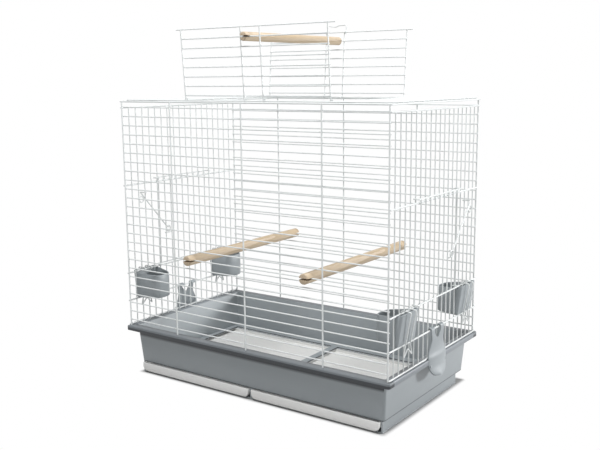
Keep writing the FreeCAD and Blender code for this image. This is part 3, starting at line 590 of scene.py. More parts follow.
@dataclass(frozen=True)
class Layout:
    """Sizes in millimetres that several pieces share. Rails are given above the rim."""

    length: float = 500.0
    depth: float = 285.0
    height: float = 379.0
    pitch: float = 15.0
    fine: float = 1.0
    stout: float = 1.3
    bite: float = 0.1
    gap: float = 0.3
    rim_z: float = 83.0
    bar_x: float = 143.0
    hinge_y: float = 112.5
    feed_z: float = 90.5
    cup_z: float = 43.0
    door_z: float = 240.0
    second_z: float = 369.0
    door_half: float = 60.0
    tip_y: float = 37.5
    cup_y: float = 97.5
    perch_z: float = 213.0

    @property
    def row_y(self) -> float:
        """Middle of the fine wires of the front and back."""
        return self.depth / 2 - self.stout - self.fine + self.bite

    @property
    def top_y(self) -> float:
        """Middle of the top rails of the front and back."""
        return self.depth / 2 - 2 * self.stout + self.bite

    @property
    def rail_x(self) -> float:
        """Middle of the rails of the sides."""
        return self.length / 2 + 2 * self.stout - self.bite

    @property
    def side_x(self) -> float:
        """Middle of the upright wires of the sides."""
        return self.length / 2 + self.stout - self.fine

    @property
    def top_z(self) -> float:
        """Middle of the top rails."""
        return self.rim_z + self.height

    @property
    def roof_z(self) -> float:
        """Middle of the roof wires."""
        return self.top_z + self.stout + self.fine - self.bite

    @property
    def eye(self) -> float:
        """Radius of an eye bent round a fine wire."""
        return 2 * self.fine + self.gap

    def curl(self, begin: float, sweep: float) -> Pairs:
        """Points of an eye bent round a fine wire, from an angle on."""
        return arc(self.eye, begin, sweep, 16)

    def spaced(self, count: int) -> list[float]:
        """Places of a row of wires about the middle, one pitch apart."""
        return [(index - (count - 1) / 2) * self.pitch for index in range(count)]


LAYOUT = Layout()


def to_end(side: Side, x: float = 0.0, y: float = 0.0, z: float = 0.0) -> Matrix:
    """Brings a piece that is drawn facing the right end to its own end.

    Args:
        side: the piece's end.
        x: how far out from the middle its origin lies.
        y: its origin along Y.
        z: its origin's height.

    Returns:
        The turn and the shift.
    """
    turn = Matrix.Rotation(0.0 if side is Side.RIGHT else math.pi, 4, "Z")
    return Matrix.Translation((side.value * x, y, z)) @ turn


@dataclass
class Piece:
    """One visible piece that stands for a node of the model."""

    node: str
    body: str = "cage"
    finish: Finish = WIRE
    sharp: float = 40.0
    bevel: float = 0.0
    middle: Matrix = field(default_factory=lambda: Matrix.Identity(4))

    def shape(self) -> Shape:
        """The piece's own mesh."""
        raise NotImplementedError

    def make(self) -> bpy.types.Object:
        """Builds the piece, dresses it and lets it ride on its body.

        Returns:
            The piece's object.
        """
        shape = self.shape()
        made = shape.mesh("dressed_" + self.node, self.sharp)
        made.matrix_world = self.middle
        made.data.materials.append(self.finish.material())
        if self.bevel:
            edge = made.modifiers.new("moulded_edges", "BEVEL")
            edge.width = self.bevel * MM
            edge.segments = 3
            edge.limit_method = "ANGLE"
            edge.angle_limit = math.radians(35)
            made.modifiers.new("even_shading", "WEIGHTED_NORMAL")
        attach(made, self.body)
        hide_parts(self.node)
        LOG.info("%s: %d faces on %s", made.name, len(shape.faces), self.body)
        return made


@dataclass
class FlatPanel(Piece):
    """Front or back: five upright bars, fine wires across behind them and a top rail."""

    end: End = End.FRONT
    rows: int = 25
    first_row: float = 10.0

    def shape(self) -> Shape:
        """Sets bars, rows and rail.

        Returns:
            The panel's mesh.
        """
        at, shape, way = LAYOUT, Shape(), self.end.value
        across = (-at.length / 2 - at.stout, at.length / 2 + at.stout)
        for x in (-at.length / 2, -at.bar_x, 0.0, at.bar_x, at.length / 2):
            shape.rod(2, (at.rim_z, at.top_z + at.stout), (x, way * at.depth / 2), at.stout)
        for index in range(self.rows):
            z = at.rim_z + self.first_row + index * at.pitch
            shape.rod(0, across, (way * at.row_y, z), at.fine)
        shape.rod(0, across, (way * at.top_y, at.top_z), at.stout)
        return shape


@dataclass
class SidePanel(Piece):
    """Left or right: six rails outside, upright wires inside and openings for cups and a door."""

    side: Side = Side.LEFT
    wires: int = 18
    low_z: float = 2.0
    cup_room: float = 20.0

    def shape(self) -> Shape:
        """Sets rails, and upright wires cut at the openings.

        Returns:
            The panel's mesh.
        """
        at, shape, way = LAYOUT, Shape(), self.side.value
        reach = at.depth / 2 + at.stout
        for z in (self.low_z, at.cup_z, at.feed_z, at.door_z, at.second_z, at.height):
            shape.rod(1, (-reach, reach), (way * at.rail_x, at.rim_z + z), at.stout)
        high = at.rim_z + at.second_z + at.stout
        for y in at.spaced(self.wires):
            runs = [(at.rim_z, high)]
            if abs(abs(y) - at.cup_y) < self.cup_room:
                runs = [(at.rim_z, at.rim_z + at.cup_z + at.stout), (at.rim_z + at.feed_z - at.stout, high)]
            if abs(y) < at.door_half:
                runs = [(at.rim_z, at.rim_z + at.feed_z + at.stout), (at.rim_z + at.door_z - at.stout, high)]
            for run in runs:
                shape.rod(2, run, (way * at.side_x, y), at.fine)
        return shape


@dataclass
class RoofFrame(Piece):
    """Long wires on the side rails and short wires beside the opening, on two rods."""

    short_wires: int = 14

    def shape(self) -> Shape:
        """Sets long wires, rods and short wires.

        Returns:
            The roof's mesh.
        """
        at, shape = LAYOUT, Shape()
        far = at.rail_x + at.fine
        for y in (-at.hinge_y - at.pitch, -at.hinge_y, at.hinge_y, at.hinge_y + at.pitch):
            shape.rod(0, (-far, far), (y, at.roof_z), at.fine)
        reach = at.top_y - at.stout + at.bite
        for x in (-at.bar_x, at.bar_x):
            shape.rod(1, (-reach, reach), (x, at.top_z), at.stout)
        near = at.bar_x - at.stout
        for y in at.spaced(self.short_wires):
            for span in ((-far, -near), (near, far)):
                shape.rod(0, span, (y, at.roof_z), at.fine)
        return shape


@dataclass
class RoofFlap(Piece):
    """A wire flap of the roof, open, whose four bars end in eyes on a roof wire."""

    end: End = End.FRONT
    rows: int = 8
    first: float = 7.5
    pitch: float = 14.5
    half: float = 136.5
    inner: float = 18.0
    shift: float = 3.5
    over: float = 11.5
    open_angle: float = 94.0

    @property
    def lift(self) -> float:
        """Middle of the cross wires over the hinge wire of a flat flap."""
        return LAYOUT.eye - 2 * LAYOUT.fine + LAYOUT.bite

    def place(self) -> Matrix:
        """Works out how the flat flap stands on the roof.

        Returns:
            The turn and the shift.
        """
        turn = Matrix.Rotation(math.radians(self.open_angle), 4, "X")
        if self.end is End.BACK:
            turn = Matrix.Rotation(math.pi, 4, "Z") @ turn
        return Matrix.Translation((0, self.end.value * LAYOUT.hinge_y, LAYOUT.roof_z)) @ turn

    def row(self, index: int) -> Vector:
        """Middle of one cross wire, in the model's frame."""
        return self.place() @ Vector((0, self.first + index * self.pitch, self.lift))

    def shape(self) -> Shape:
        """Sets cross wires and bars.

        Returns:
            The flap's mesh.
        """
        at, shape = LAYOUT, Shape()
        for index in range(self.rows):
            half = self.half + (self.over if index + 1 == self.rows else at.fine)
            along = self.first + index * self.pitch
            shape.rod(0, (self.shift - half, self.shift + half), (along, self.lift), at.fine)
        tip = self.first + (self.rows - 1) * self.pitch + at.fine
        for x in (-self.half, -self.inner, self.inner, self.half):
            path = [Vector((self.shift + x, tip, at.eye))]
            path += [Vector((self.shift + x, along, up)) for along, up in at.curl(90, EYE_SWEEP)]
            shape.wire(path, at.fine)
        shape.moved(self.place())
        return shape


@dataclass
class RoofLatch(Piece):
    """A bent wire with an eye on the last wire of the back flap."""

    x: float = 18.0
    rise: float = 12.0
    reach: float = 35.0
    bend: float = 3.0
    # Share of the reach and drop of each kink of the arm.
    kinks: tuple[tuple[float, float], ...] = ((0.45, 0.5), (0.6, 3.0), (1.0, 0.5))

    def shape(self) -> Shape:
        """Bends an eye, a short stem and a kinked arm.

        Returns:
            The latch's mesh.
        """
        at, shape = LAYOUT, Shape()
        flap = RoofFlap("back_flap", end=End.BACK)
        hinge = flap.row(flap.rows - 1)
        eye = at.curl(-EYE_SWEEP, EYE_SWEEP)
        path = [Vector((self.x, hinge.y + along, hinge.z + up)) for along, up in eye]
        y, top = hinge.y + at.eye, hinge.z + self.rise
        corners = [path[-1], Vector((self.x, y, top))]
        corners += [Vector((self.x - self.reach * share, y, top - drop)) for share, drop in self.kinks]
        shape.wire(path[:-1] + bent(corners, self.bend), at.fine)
        return shape


@dataclass
class Perch(Piece):
    """A turned wooden rod along Y whose ends have a saw slit or a rebate."""

    radius: float = 8.0
    front: float = 152.0
    back: float = 148.0
    slit_half: float = 1.1
    front_slit: float = 139.2
    back_slit: float = 139.2
    rebate: bool = False
    round_end: float = 1.4
    flare: float = 1.25
    flare_length: float = 4.0
    sides: int = 36

    def disc(self, y: float) -> Loop:
        """A full round section."""
        return [Vector((u, y, v)) for u, v in ring(self.radius, self.sides)]

    def cheek(self, radius: float, y: float, floor: float, up: int) -> Loop:
        """The part of a round section above a level, or its mirror image below."""
        level = math.degrees(math.asin(min(floor / radius, 0.98)))
        return [Vector((u, y, up * v)) for u, v in arc(radius, level, 180 - 2 * level, self.sides // 2)]

    def end(self, shape: Shape, way: int, start: float, stop: float, cheeks: tuple[int, ...]) -> None:
        """Adds the cheeks that a slit leaves at one end.

        Args:
            shape: the shape that gets them.
            way: -1 at the front end and 1 at the back.
            start: bottom of the slit from the middle.
            stop: end of the rod from the middle.
            cheeks: 1 for the upper cheek and -1 for the lower. A rebate leaves one.
        """
        slit = len(cheeks) > 1
        mouth = self.slit_half * (self.flare if slit else 1.0)
        for up in cheeks:
            # Distance from the middle, how much slimmer the rod is and half the slit.
            levels = [(start, 0.0, self.slit_half)]
            if slit:
                levels.append((stop - self.flare_length, 0.0, self.slit_half))
            for angle in (math.radians(index * 30) for index in range(4)):
                levels.append((stop - self.round_end * (1 - math.sin(angle)),
                               self.round_end * (1 - math.cos(angle)), mouth))
            loops = [self.cheek(self.radius - less, way * y, floor, up) for y, less, floor in levels]
            shape.loft(loops, flip=way * up > 0)

    def shape(self) -> Shape:
        """Turns the rod between its slits, and the cheeks beyond them.

        Returns:
            The perch's mesh.
        """
        shape = Shape()
        shape.loft([self.disc(-self.front_slit), self.disc(self.back_slit)], flip=True)
        self.end(shape, -1, self.front_slit, self.front, (1, -1))
        self.end(shape, 1, self.back_slit, self.back, (1,) if self.rebate else (1, -1))
        return shape


@dataclass
class BaseTray(Piece):
    """Tray with a leaning wall, a turned-down rim and a ledge round two floor openings."""

    half_x: float = 256.0
    half_y: float = 148.5
    inset: float = 13.0
    taper: float = 4.5
    wall: float = 2.5
    low_z: float = 18.0
    lip: float = 8.0
    corner: float = 5.0
    floor_bite: float = 0.3
    ledge_x: float = 226.0
    ledge_front: float = 115.0
    ledge_back: float = 112.0
    bar: float = 12.0

    def shape(self) -> Shape:
        """Moulds the wall and rim as one ring of sections, and the floor as a plate with two openings.

        Returns:
            The tray's mesh.
        """
        shape, top = Shape(), LAYOUT.rim_z
        low, under, brink = self.inset + self.taper, top - self.wall, top - self.lip
        # Distance in from the edge of the rim, corner radius and height of each section, up the inside,
        # over the rim with its soft edges and down the outside.
        rows = [(low + self.wall, 2.5, self.low_z + self.wall), (self.inset + self.wall, 2.5, top - 1.0),
                (self.inset + self.wall - 0.3, 2.7, top - 0.3), (self.inset + self.wall - 1.0, 3.2, top),
                (1.8, 2.6, top), (1.1, 3.2, top - 0.14), (0.53, 3.6, top - 0.53), (0.14, 3.9, top - 1.1),
                (0.0, 4.0, top - 1.8), (0.0, 4.0, brink + 0.8), (0.25, 3.8, brink + 0.25),
                (0.8, 3.4, brink), (1.9, 2.4, brink), (2.3, 2.0, brink + 0.2),
                (self.wall, 1.8, brink + 0.6), (self.wall, 1.8, under - 0.6),
                (self.wall + 0.6, 1.6, under), (self.inset - 1.2, 4.2, under),
                (self.inset - 0.3, 4.8, under - 0.4), (self.inset, self.corner, under - 1.4),
                (low, self.corner, self.low_z + 1.0), (low + 0.3, self.corner - 0.2, self.low_z + 0.3),
                (low + 1.0, self.corner - 0.6, self.low_z), (low + self.wall, 2.5, self.low_z)]
        loops = [rounded_loop(self.half_x - less, self.half_y - less, radius, z) for less, radius, z in rows]
        shape.loft(loops, closed=True, flip=True)
        self.floor(shape, low + self.wall - self.floor_bite)
        return shape

    def floor(self, shape: Shape, inset: float) -> None:
        """Adds the ledge and the bar between the openings as slats that meet edge to edge.

        Args:
            shape: the shape that gets them.
            inset: edge of the floor in from the edge of the rim.
        """
        x, y = self.half_x - inset, self.half_y - inset
        near, far = -self.ledge_front, self.ledge_back
        slats = ((-x, -y, x, near), (-x, far, x, y), (-x, near, -self.ledge_x, far),
                 (self.ledge_x, near, x, far), (-self.bar / 2, near, self.bar / 2, far))
        for x0, y0, x1, y1 in slats:
            shape.box((x0, y0, self.low_z), (x1, y1, self.low_z + self.wall))


@dataclass
class BasePlinth(Piece):
    """Drawer housing under the tray, open at the front, with a wall in the middle."""

    half_x: float = 236.0
    front: float = 131.0
    back: float = 112.0
    top: float = 18.0
    wall: float = 2.5
    floor: float = 2.0
    middle_wall: float = 5.0

    def shape(self) -> Shape:
        """Moulds a floor plate with three walls along Y and one across the back.

        Returns:
            The housing's mesh.
        """
        shape = Shape()
        inner, half = self.half_x - self.wall, self.middle_wall / 2
        shape.box((-self.half_x, -self.front, 0), (self.half_x, self.back, self.floor))
        for low, high in ((-self.half_x, -inner), (-half, half), (inner, self.half_x)):
            shape.box((low, -self.front, self.floor), (high, self.back, self.top))
        for low, high in ((-inner, -half), (half, inner)):
            shape.box((low, self.back - self.wall, self.floor), (high, self.back, self.top))
        return shape


@dataclass
class Drawer(Piece):
    """A shallow drawer with a taller front plate whose lower corners are round."""

    side: Side = Side.LEFT
    near: float = 2.8
    far: float = 233.2
    face: float = 136.0
    plate: float = 3.0
    face_low: float = 3.8
    face_high: float = 17.4
    corner: float = 8.0
    top_corner: float = 0.8
    back: float = 109.0
    low: float = 2.3
    side_h: float = 15.1
    wall: float = 1.8
    keel: float = 8.0
    floor: float = 10.9
    setback: float = 24.0

    def shape(self) -> Shape:
        """Moulds the front plate with its soft edges, a floor and three walls.

        Returns:
            The drawer's mesh.
        """
        shape, small = Shape(), self.top_corner
        left, right = sorted((self.side.value * self.near, self.side.value * self.far))
        loops = []
        # Depth behind the face and inset of each section of the plate.
        for depth, less in ((0.0, 1.2), (0.35, 0.35), (1.2, 0.0), (self.plate, 0.0)):
            y, low, high = -self.face + depth, self.face_low + less, self.face_high - less
            x0, x1, big = left + less, right - less, self.corner - less
            corners = ((x1 - big, low + big, big, 0, 6), (x0 + big, low + big, big, -90, 6),
                       (x0 + small, high - small, small, 180, 3), (x1 - small, high - small, small, 90, 3))
            loops.append([Vector((x + u, y, z + v)) for x, z, radius, begin, steps in corners
                          for u, v in arc(radius, begin, -90, steps)])
        shape.loft(loops, flip=True)
        inner, top = -self.face + self.plate, self.low + self.side_h
        # The keel is narrower behind the plate, so the plate's round corners stand clear.
        full, deck, floor = inner + self.setback, self.low + self.keel, self.low + self.floor
        shape.box((left + self.corner, inner, self.low), (right - self.corner, full, deck))
        shape.box((left, full, self.low), (right, self.back, deck))
        shape.box((left, inner, deck), (right, self.back, floor))
        for x0, x1 in ((left, left + self.wall), (right - self.wall, right)):
            shape.box((x0, inner, floor), (x1, self.back, top))
        shape.box((left + self.wall, self.back - self.wall, floor), (right - self.wall, self.back, top))
        return shape


@dataclass
class FeederCup(Piece):
    """A tapered trough in a side panel whose outer wall leans out and stands higher."""

    side: Side = Side.LEFT
    end: End = End.FRONT
    inner: float = 38.0
    out_low: float = 4.5
    out_top: float = 11.0
    half_in: float = 17.0
    half: float = 26.0
    wall: float = 1.6
    top: float = 91.5
    rim_in: float = 84.0
    slope_past: float = 5.0
    round_out: float = 13.0
    round_in: float = 12.0

    @property
    def low(self) -> float:
        """Underside of the cup, just over its lower rail."""
        return LAYOUT.cup_z + LAYOUT.stout + LAYOUT.gap

    def outline(self, z: float, less: float, radius: float) -> Loop:
        """One level section of the cup.

        Args:
            z: its height over the rim of the tray.
            less: how far it is drawn in.
            radius: reach of its round corners.

        Returns:
            The section's loop.
        """
        out = self.out_low + (self.out_top - self.out_low) * (z - self.low) / (self.top - self.low) - less
        inner, wide, slim = -self.inner + less, self.half - less, self.half_in - less
        corners = [(inner, -slim), (0.0, -wide), (out, -wide), (out, wide), (0.0, wide), (inner, slim)]
        points = [Vector((x, y, z)) for x, y in corners]
        loop = []
        for index, here in enumerate(points):
            back, ahead = points[index - 1] - here, points[(index + 1) % len(points)] - here
            size = min(radius, back.length * MOST_BEND, ahead.length * MOST_BEND)
            loop += eased(here + back.normalized() * size, here, here + ahead.normalized() * size, 4)
        return loop

    def brim(self, loop: Loop, drop: float) -> Loop:
        """Lowers a section to the cup's slanting brim, which steps up outside the rail.

        Args:
            loop: the section.
            drop: how far under the brim it lies.

        Returns:
            The lowered section.
        """
        at = LAYOUT
        step = 2 * at.stout - at.bite + at.stout + at.gap
        under = at.feed_z - at.stout - at.gap
        start = self.inner + self.slope_past
        result = []
        for spot in loop:
            slope = self.rim_in + (under - self.rim_in) * (spot.x + start) / (step + start)
            z = self.top if spot.x > step else min(slope, under)
            result.append(Vector((spot.x, spot.y, z - drop)))
        return result

    def shape(self) -> Shape:
        """Moulds the outer skin from the floor to the brim, and the inner skin back down to the floor.

        Returns:
            The cup's mesh.
        """
        at, shape, low = LAYOUT, Shape(), self.low
        # Height over the underside and inset of the sections of each skin.
        outside = ((0.0, 1.8), (0.6, 0.6), (1.8, 0.0), (12.0, 0.0), (24.0, 0.0))
        inside = ((24.0, self.wall), (12.0, self.wall), (3.0, self.wall), (self.wall, self.wall + 1.5))
        # Inset, corner and drop of the sections over the brim.
        edge = ((0.0, self.round_out, 0.5), (0.4, self.round_out, 0.0),
                (self.wall - 0.4, self.round_in + 0.2, 0.0), (self.wall, self.round_in, 0.5))
        loops = [self.outline(low + height, less, self.round_out) for height, less in outside]
        loops += [self.brim(self.outline(self.top, less, radius), drop) for less, radius, drop in edge]
        loops += [self.outline(low + height, less, self.round_in) for height, less in inside]
        shape.loft(loops)
        shape.moved(to_end(self.side, at.length / 2, self.end.value * at.cup_y, at.rim_z))
        return shape


@dataclass
class FeederBail(Piece):
    """One wire with two eyes on the rail, two legs in front of the cup and a bent end below."""

    side: Side = Side.LEFT
    end: End = End.FRONT
    half: float = 7.5
    reach: float = 13.5
    foot: float = 4.2
    splay: float = 5.0
    tail: float = 17.0
    notch: float = 5.0
    bend: float = 3.5

    def shape(self) -> Shape:
        """Bends one leg and its mirror image as one path.

        Returns:
            The bail's mesh.
        """
        at, shape = LAYOUT, Shape()
        radius = at.stout + at.gap + at.fine
        drop = at.cup_z - at.feed_z
        curl = [Vector((x, -self.half, z)) for x, z in arc(radius, 320, -230, 14)]
        corners = [curl[-1], Vector((self.reach, -self.half, radius)), Vector((self.foot, -self.half, drop)),
                   Vector((self.foot, -self.half - self.splay, drop - self.tail)),
                   Vector((self.foot, 0, drop - self.notch))]
        corners += mirrored(corners[:-1])
        shape.wire(curl[:-1] + bent(corners, self.bend, 6) + mirrored(curl)[1:], at.fine)
        shape.moved(to_end(self.side, at.rail_x, self.end.value * at.cup_y, at.rim_z + at.feed_z))
        return shape


@dataclass
class SideDoor(Piece):
    """A lifting wire door whose upper and lower rails are bent round two fixed wires."""

    side: Side = Side.LEFT
    low: float = 93.1
    keeper: float = 145.0
    high: float = 246.0
    guide: float = 67.5
    clear: float = 2.4
    slack: float = 0.1
    bend: float = 1.6

    def shape(self) -> Shape:
        """Sets upright wires, a short keeper under the hook and two bent rails.

        Returns:
            The door's mesh.
        """
        at, shape = LAYOUT, Shape()
        low, high = at.rim_z + self.low, at.rim_z + self.high
        plane = at.rail_x + at.stout + at.fine + at.gap + self.slack
        across = plane + 2 * at.fine - at.bite
        for y in at.spaced(int(round(2 * at.door_half / at.pitch)) + 1):
            shape.rod(2, (low - at.fine, high + at.fine), (plane, y), at.fine)
        reach = at.pitch / 2 + at.fine
        shape.rod(1, (at.tip_y - reach, at.tip_y + reach), (across, at.rim_z + self.keeper), at.fine)
        inside, end = at.side_x - self.clear, self.guide + self.clear
        for z in (low, high):
            corners = [Vector((inside, self.guide - self.clear, z)), Vector((inside, end, z)),
                       Vector((across, end, z))]
            shape.wire(bent(corners + mirrored(corners), self.bend, 4), at.fine)
        shape.moved(to_end(self.side))
        return shape


@dataclass
class DoorHook(Piece):
    """A slanting wire with an eye on a fixed wire, a tip over the door's keeper and two rings."""

    side: Side = Side.LEFT
    y: float = 97.5
    z: float = 224.0
    tip_z: float = 155.0
    tip_in: float = 4.0
    ring: float = 5.0
    clear: float = 0.9
    bend: float = 2.4

    def shape(self) -> Shape:
        """Bends the shank with its eye, the ring under its upper end and the ring beyond its tip.

        Returns:
            The hook's mesh.
        """
        at, shape = LAYOUT, Shape()
        z, tip = at.rim_z + self.z, at.rim_z + self.tip_z
        out = at.rail_x + at.stout + at.gap + 5 * at.fine + self.clear
        curl = [Vector((at.side_x + x, self.y + y, z)) for x, y in at.curl(90 + EYE_SWEEP, -EYE_SWEEP)]
        corners = [curl[-1], Vector((out, self.y + at.eye, z)), Vector((out, at.tip_y, tip)),
                   Vector((at.side_x + self.tip_in, at.tip_y, tip))]
        shape.wire(curl[:-1] + bent(corners, self.bend), at.fine)
        down = (corners[2] - corners[1]).normalized()
        beside = Vector((0, -down.z, down.y))
        reach = self.ring + 2 * at.fine - at.bite
        # The upper ring touches the shank where its middle comes to the Y of the hinge wire.
        hang = (at.eye + beside.y * reach) / -down.y
        for touch, away in ((corners[1] + down * hang, beside), (corners[2] - down * 2 * at.fine, down)):
            begin = math.degrees(math.atan2(-away.z, -away.y))
            middle = touch + away * reach
            shape.wire([middle + Vector((0, y, up)) for y, up in arc(self.ring, begin, 350, 28)], at.fine)
        shape.moved(to_end(self.side))
        return shape


@dataclass
class BaseClip(Piece):
    """A spoon-shaped clip: two prongs over a rail, a catch under the rim and a round handle."""

    side: Side = Side.LEFT
    thick: float = 2.4
    edge: float = 0.8
    bow: float = 3.2
    bow_run: float = 30.0
    neck: float = 14.0
    length: float = 57.2
    slices: int = 33
    prong_gap: float = 9.5
    neck_gap: float = 2.5
    crown: float = 0.8
    crown_flat: float = 0.71
    catch_half: float = 26.0
    catch_drop: float = 8.4

    def section(self, x: float, z: float, low: float, high: float, lean: float) -> Loop:
        """A section of the plate with soft edges, across the clip, bowed outward in the handle.

        Args:
            x: middle of the plate, out from the rail.
            z: height from the rail.
            low: one edge along Y.
            high: the other edge along Y.
            lean: angle of the plate's outward face, 0 when it faces straight out.

        Returns:
            The section's loop.
        """
        half, r = self.thick / 2, self.edge
        spots = []
        for sx, sy, begin in ((1, 1, 0), (-1, 1, 90), (-1, -1, 180), (1, -1, 270)):
            middle = high - r if sy > 0 else low + r
            spots += [(sx * (half - r) + u, middle + v) for u, v in arc(r, begin, 90, 3)]
            # Seven more points on each face let it bow.
            if sx * sy < 0:
                shares = [0.5 - sx * (0.375 - part / 8) for part in range(7)]
                spots += [(sx * half, low + (high - low) * share) for share in shares]
        bow = self.bow * min(max((-self.neck - z) / self.bow_run, 0.0), 1.0)
        loop = []
        for out, y in spots:
            out -= bow * ((2 * y - low - high) / (high - low)) ** 2
            loop.append(Vector((x + out * math.cos(lean), y, z + out * math.sin(lean))))
        return loop

    def strip(self, shape: Shape, rows: list[tuple[float, float, float, float]]) -> None:
        """Adds a bent plate.

        Args:
            shape: the shape that gets it.
            rows: middle, height and the two edges of each section.
        """
        loops = []
        for index, (x, z, low, high) in enumerate(rows):
            before, after = rows[max(index - 1, 0)], rows[min(index + 1, len(rows) - 1)]
            lean = math.atan2(after[0] - before[0], before[1] - after[1])
            loops.append(self.section(x, z, low, high, lean))
        shape.loft(loops)

    def shape(self) -> Shape:
        """Moulds two prongs with hooked tops, the handle plate and the catch.

        Returns:
            The clip's mesh.
        """
        at, shape = LAYOUT, Shape()
        mid = at.stout + at.gap + self.thick / 2
        # Height, middle of the plate and half width down the clip.
        table = [(0.0, mid, 20.5), (-4.0, mid, 20.5), (-11.0, mid, 19.2), (-18.0, mid, 19.6),
                 (-28.0, mid + 0.1, 23.6), (-35.0, mid + 1.0, 27.0), (-41.0, 5.5, 28.7), (-46.0, 5.8, 29.0),
                 (-52.0, 6.1, 28.3), (-57.0, 6.8, 26.8), (-63.0, 8.6, 23.0), (-67.0, 10.0, 18.6),
                 (-69.7, 10.8, 13.6), (-71.2, 11.2, 7.0)]
        # Height and half width of the notch between the prongs.
        notch = [(4.1, self.prong_gap), (-5.0, self.prong_gap), (-9.0, 6.0), (-self.neck, self.neck_gap)]
        over = [(-mid, -1.0), (-mid, self.crown)]
        over += [(u, self.crown + v * self.crown_flat) for u, v in arc(mid, 180, -180, 8)][1:]
        over += [(mid, z) for z in (-2.0, -5.0, -8.0, -11.0, -self.neck - 0.2)]
        for way in (1, -1):
            rows = []
            for x, z in over:
                inner = blended(notch, z)[0] if z < notch[0][0] else self.prong_gap
                outer = blended(table, min(z, 0.0))[1]
                rows.append((x, z, *sorted((way * max(inner, self.neck_gap), way * outer))))
            self.strip(shape, rows)
        rows = []
        for index in range(self.slices + 1):
            z = -self.neck - index / self.slices * self.length
            x, wide = blended(table, z)
            rows.append((x, z, -wide, wide))
        self.strip(shape, rows)
        # The catch lies under the lip of the rim.
        under = -at.cup_z - self.catch_drop
        hook = ((1.2, 0.0), (5.4, 0.0), (5.8, -4.2), (1.2, -1.6))
        ends = (self.catch_half, -self.catch_half)
        shape.loft([[Vector((x, y, under + z)) for x, z in hook] for y in ends])
        shape.moved(to_end(self.side, at.rail_x, 0, at.rim_z + at.cup_z))
        return shape


def cage_pieces() -> list[Piece]:
    """Lists every piece of the cage, each with the node it stands for.

    Returns:
        The pieces in the order in which they are built.
    """
    at = LAYOUT
    front = RoofFlap("front_flap", "front_flap", end=End.FRONT)
    grip, last = front.row(front.rows - 2), front.row(front.rows - 1)
    # The roof perch lies a little askew, as in the photograph.
    askew, slit = -2.2, 1.3
    turn = Matrix.Rotation(math.radians(askew), 4, "Z")
    pieces: list[Piece] = [FlatPanel(end.word + "_panel", end=end) for end in End]
    pieces += [SidePanel(side.word + "_panel", side=side) for side in Side]
    pieces += [RoofFrame("roof_frame"), front, RoofFlap("back_flap", "back_flap", end=End.BACK),
               RoofLatch("roof_latch", "roof_latch")]
    for side, x in ((Side.LEFT, -109.0), (Side.RIGHT, 116.0)):
        middle = Matrix.Translation((x * MM, 0, at.perch_z * MM))
        pieces.append(Perch(side.word + "_perch", finish=WOOD, middle=middle))
    pieces += [
        Perch("roof_perch", "front_flap", WOOD, radius=6.75, front=128.0, back=-last.y - 2.5, slit_half=slit,
              front_slit=-grip.y - slit, back_slit=-grip.y - slit, rebate=True,
              middle=Matrix.Translation((0, 0, grip.z * MM)) @ turn),
        BaseTray("base_tray", finish=TRAY, sharp=35.0),
        BasePlinth("base_plinth", finish=GREY, bevel=0.7),
    ]
    for side in Side:
        word = side.word
        pieces.append(Drawer(word + "_drawer", word + "_drawer", WHITE, side=side))
        pieces.append(SideDoor(word + "_door", word + "_door", side=side))
        pieces.append(DoorHook(word + "_hook", word + "_hook", side=side))
        pieces.append(BaseClip(word + "_clip", word + "_clip", GREY, side=side))
        for end in End:
            name = "%s_%s_" % (word, end.word)
            pieces.append(FeederCup(name + "cup", "cage", GREY, side=side, end=end))
            pieces.append(FeederBail(name + "bail", name + "bail", side=side, end=end))
    return pieces


# Studio


@dataclass(frozen=True)
class Lamp:
    """A soft square lamp, in metres and watts."""

    name: str
    spot: Spot
    target: Spot
    size: float
    watts: float

    def build(self) -> None:
        """Hangs the lamp in its place, facing its target."""
        data = bpy.data.lights.new(self.name, "AREA")
        data.size = self.size
        data.energy = self.watts
        made = bpy.data.objects.new(self.name, data)
        made.location = self.spot
        made.rotation_euler = (Vector(self.target) - Vector(self.spot)).to_track_quat("-Z", "Y").to_euler()
        bpy.context.scene.collection.objects.link(made)


LAMPS = (Lamp("key_softbox", spot=(1.5, 1.2, 0.5), target=(0.2, 0.0, 0.1), size=0.35, watts=30.0),
         Lamp("top_softbox", spot=(0.25, -0.6, 1.85), target=(0.0, 0.0, 0.0), size=1.0, watts=36.0),
         Lamp("low_fill", spot=(0.5, -0.95, 0.1), target=(0.05, -0.1, 0.02), size=0.4, watts=0.7))


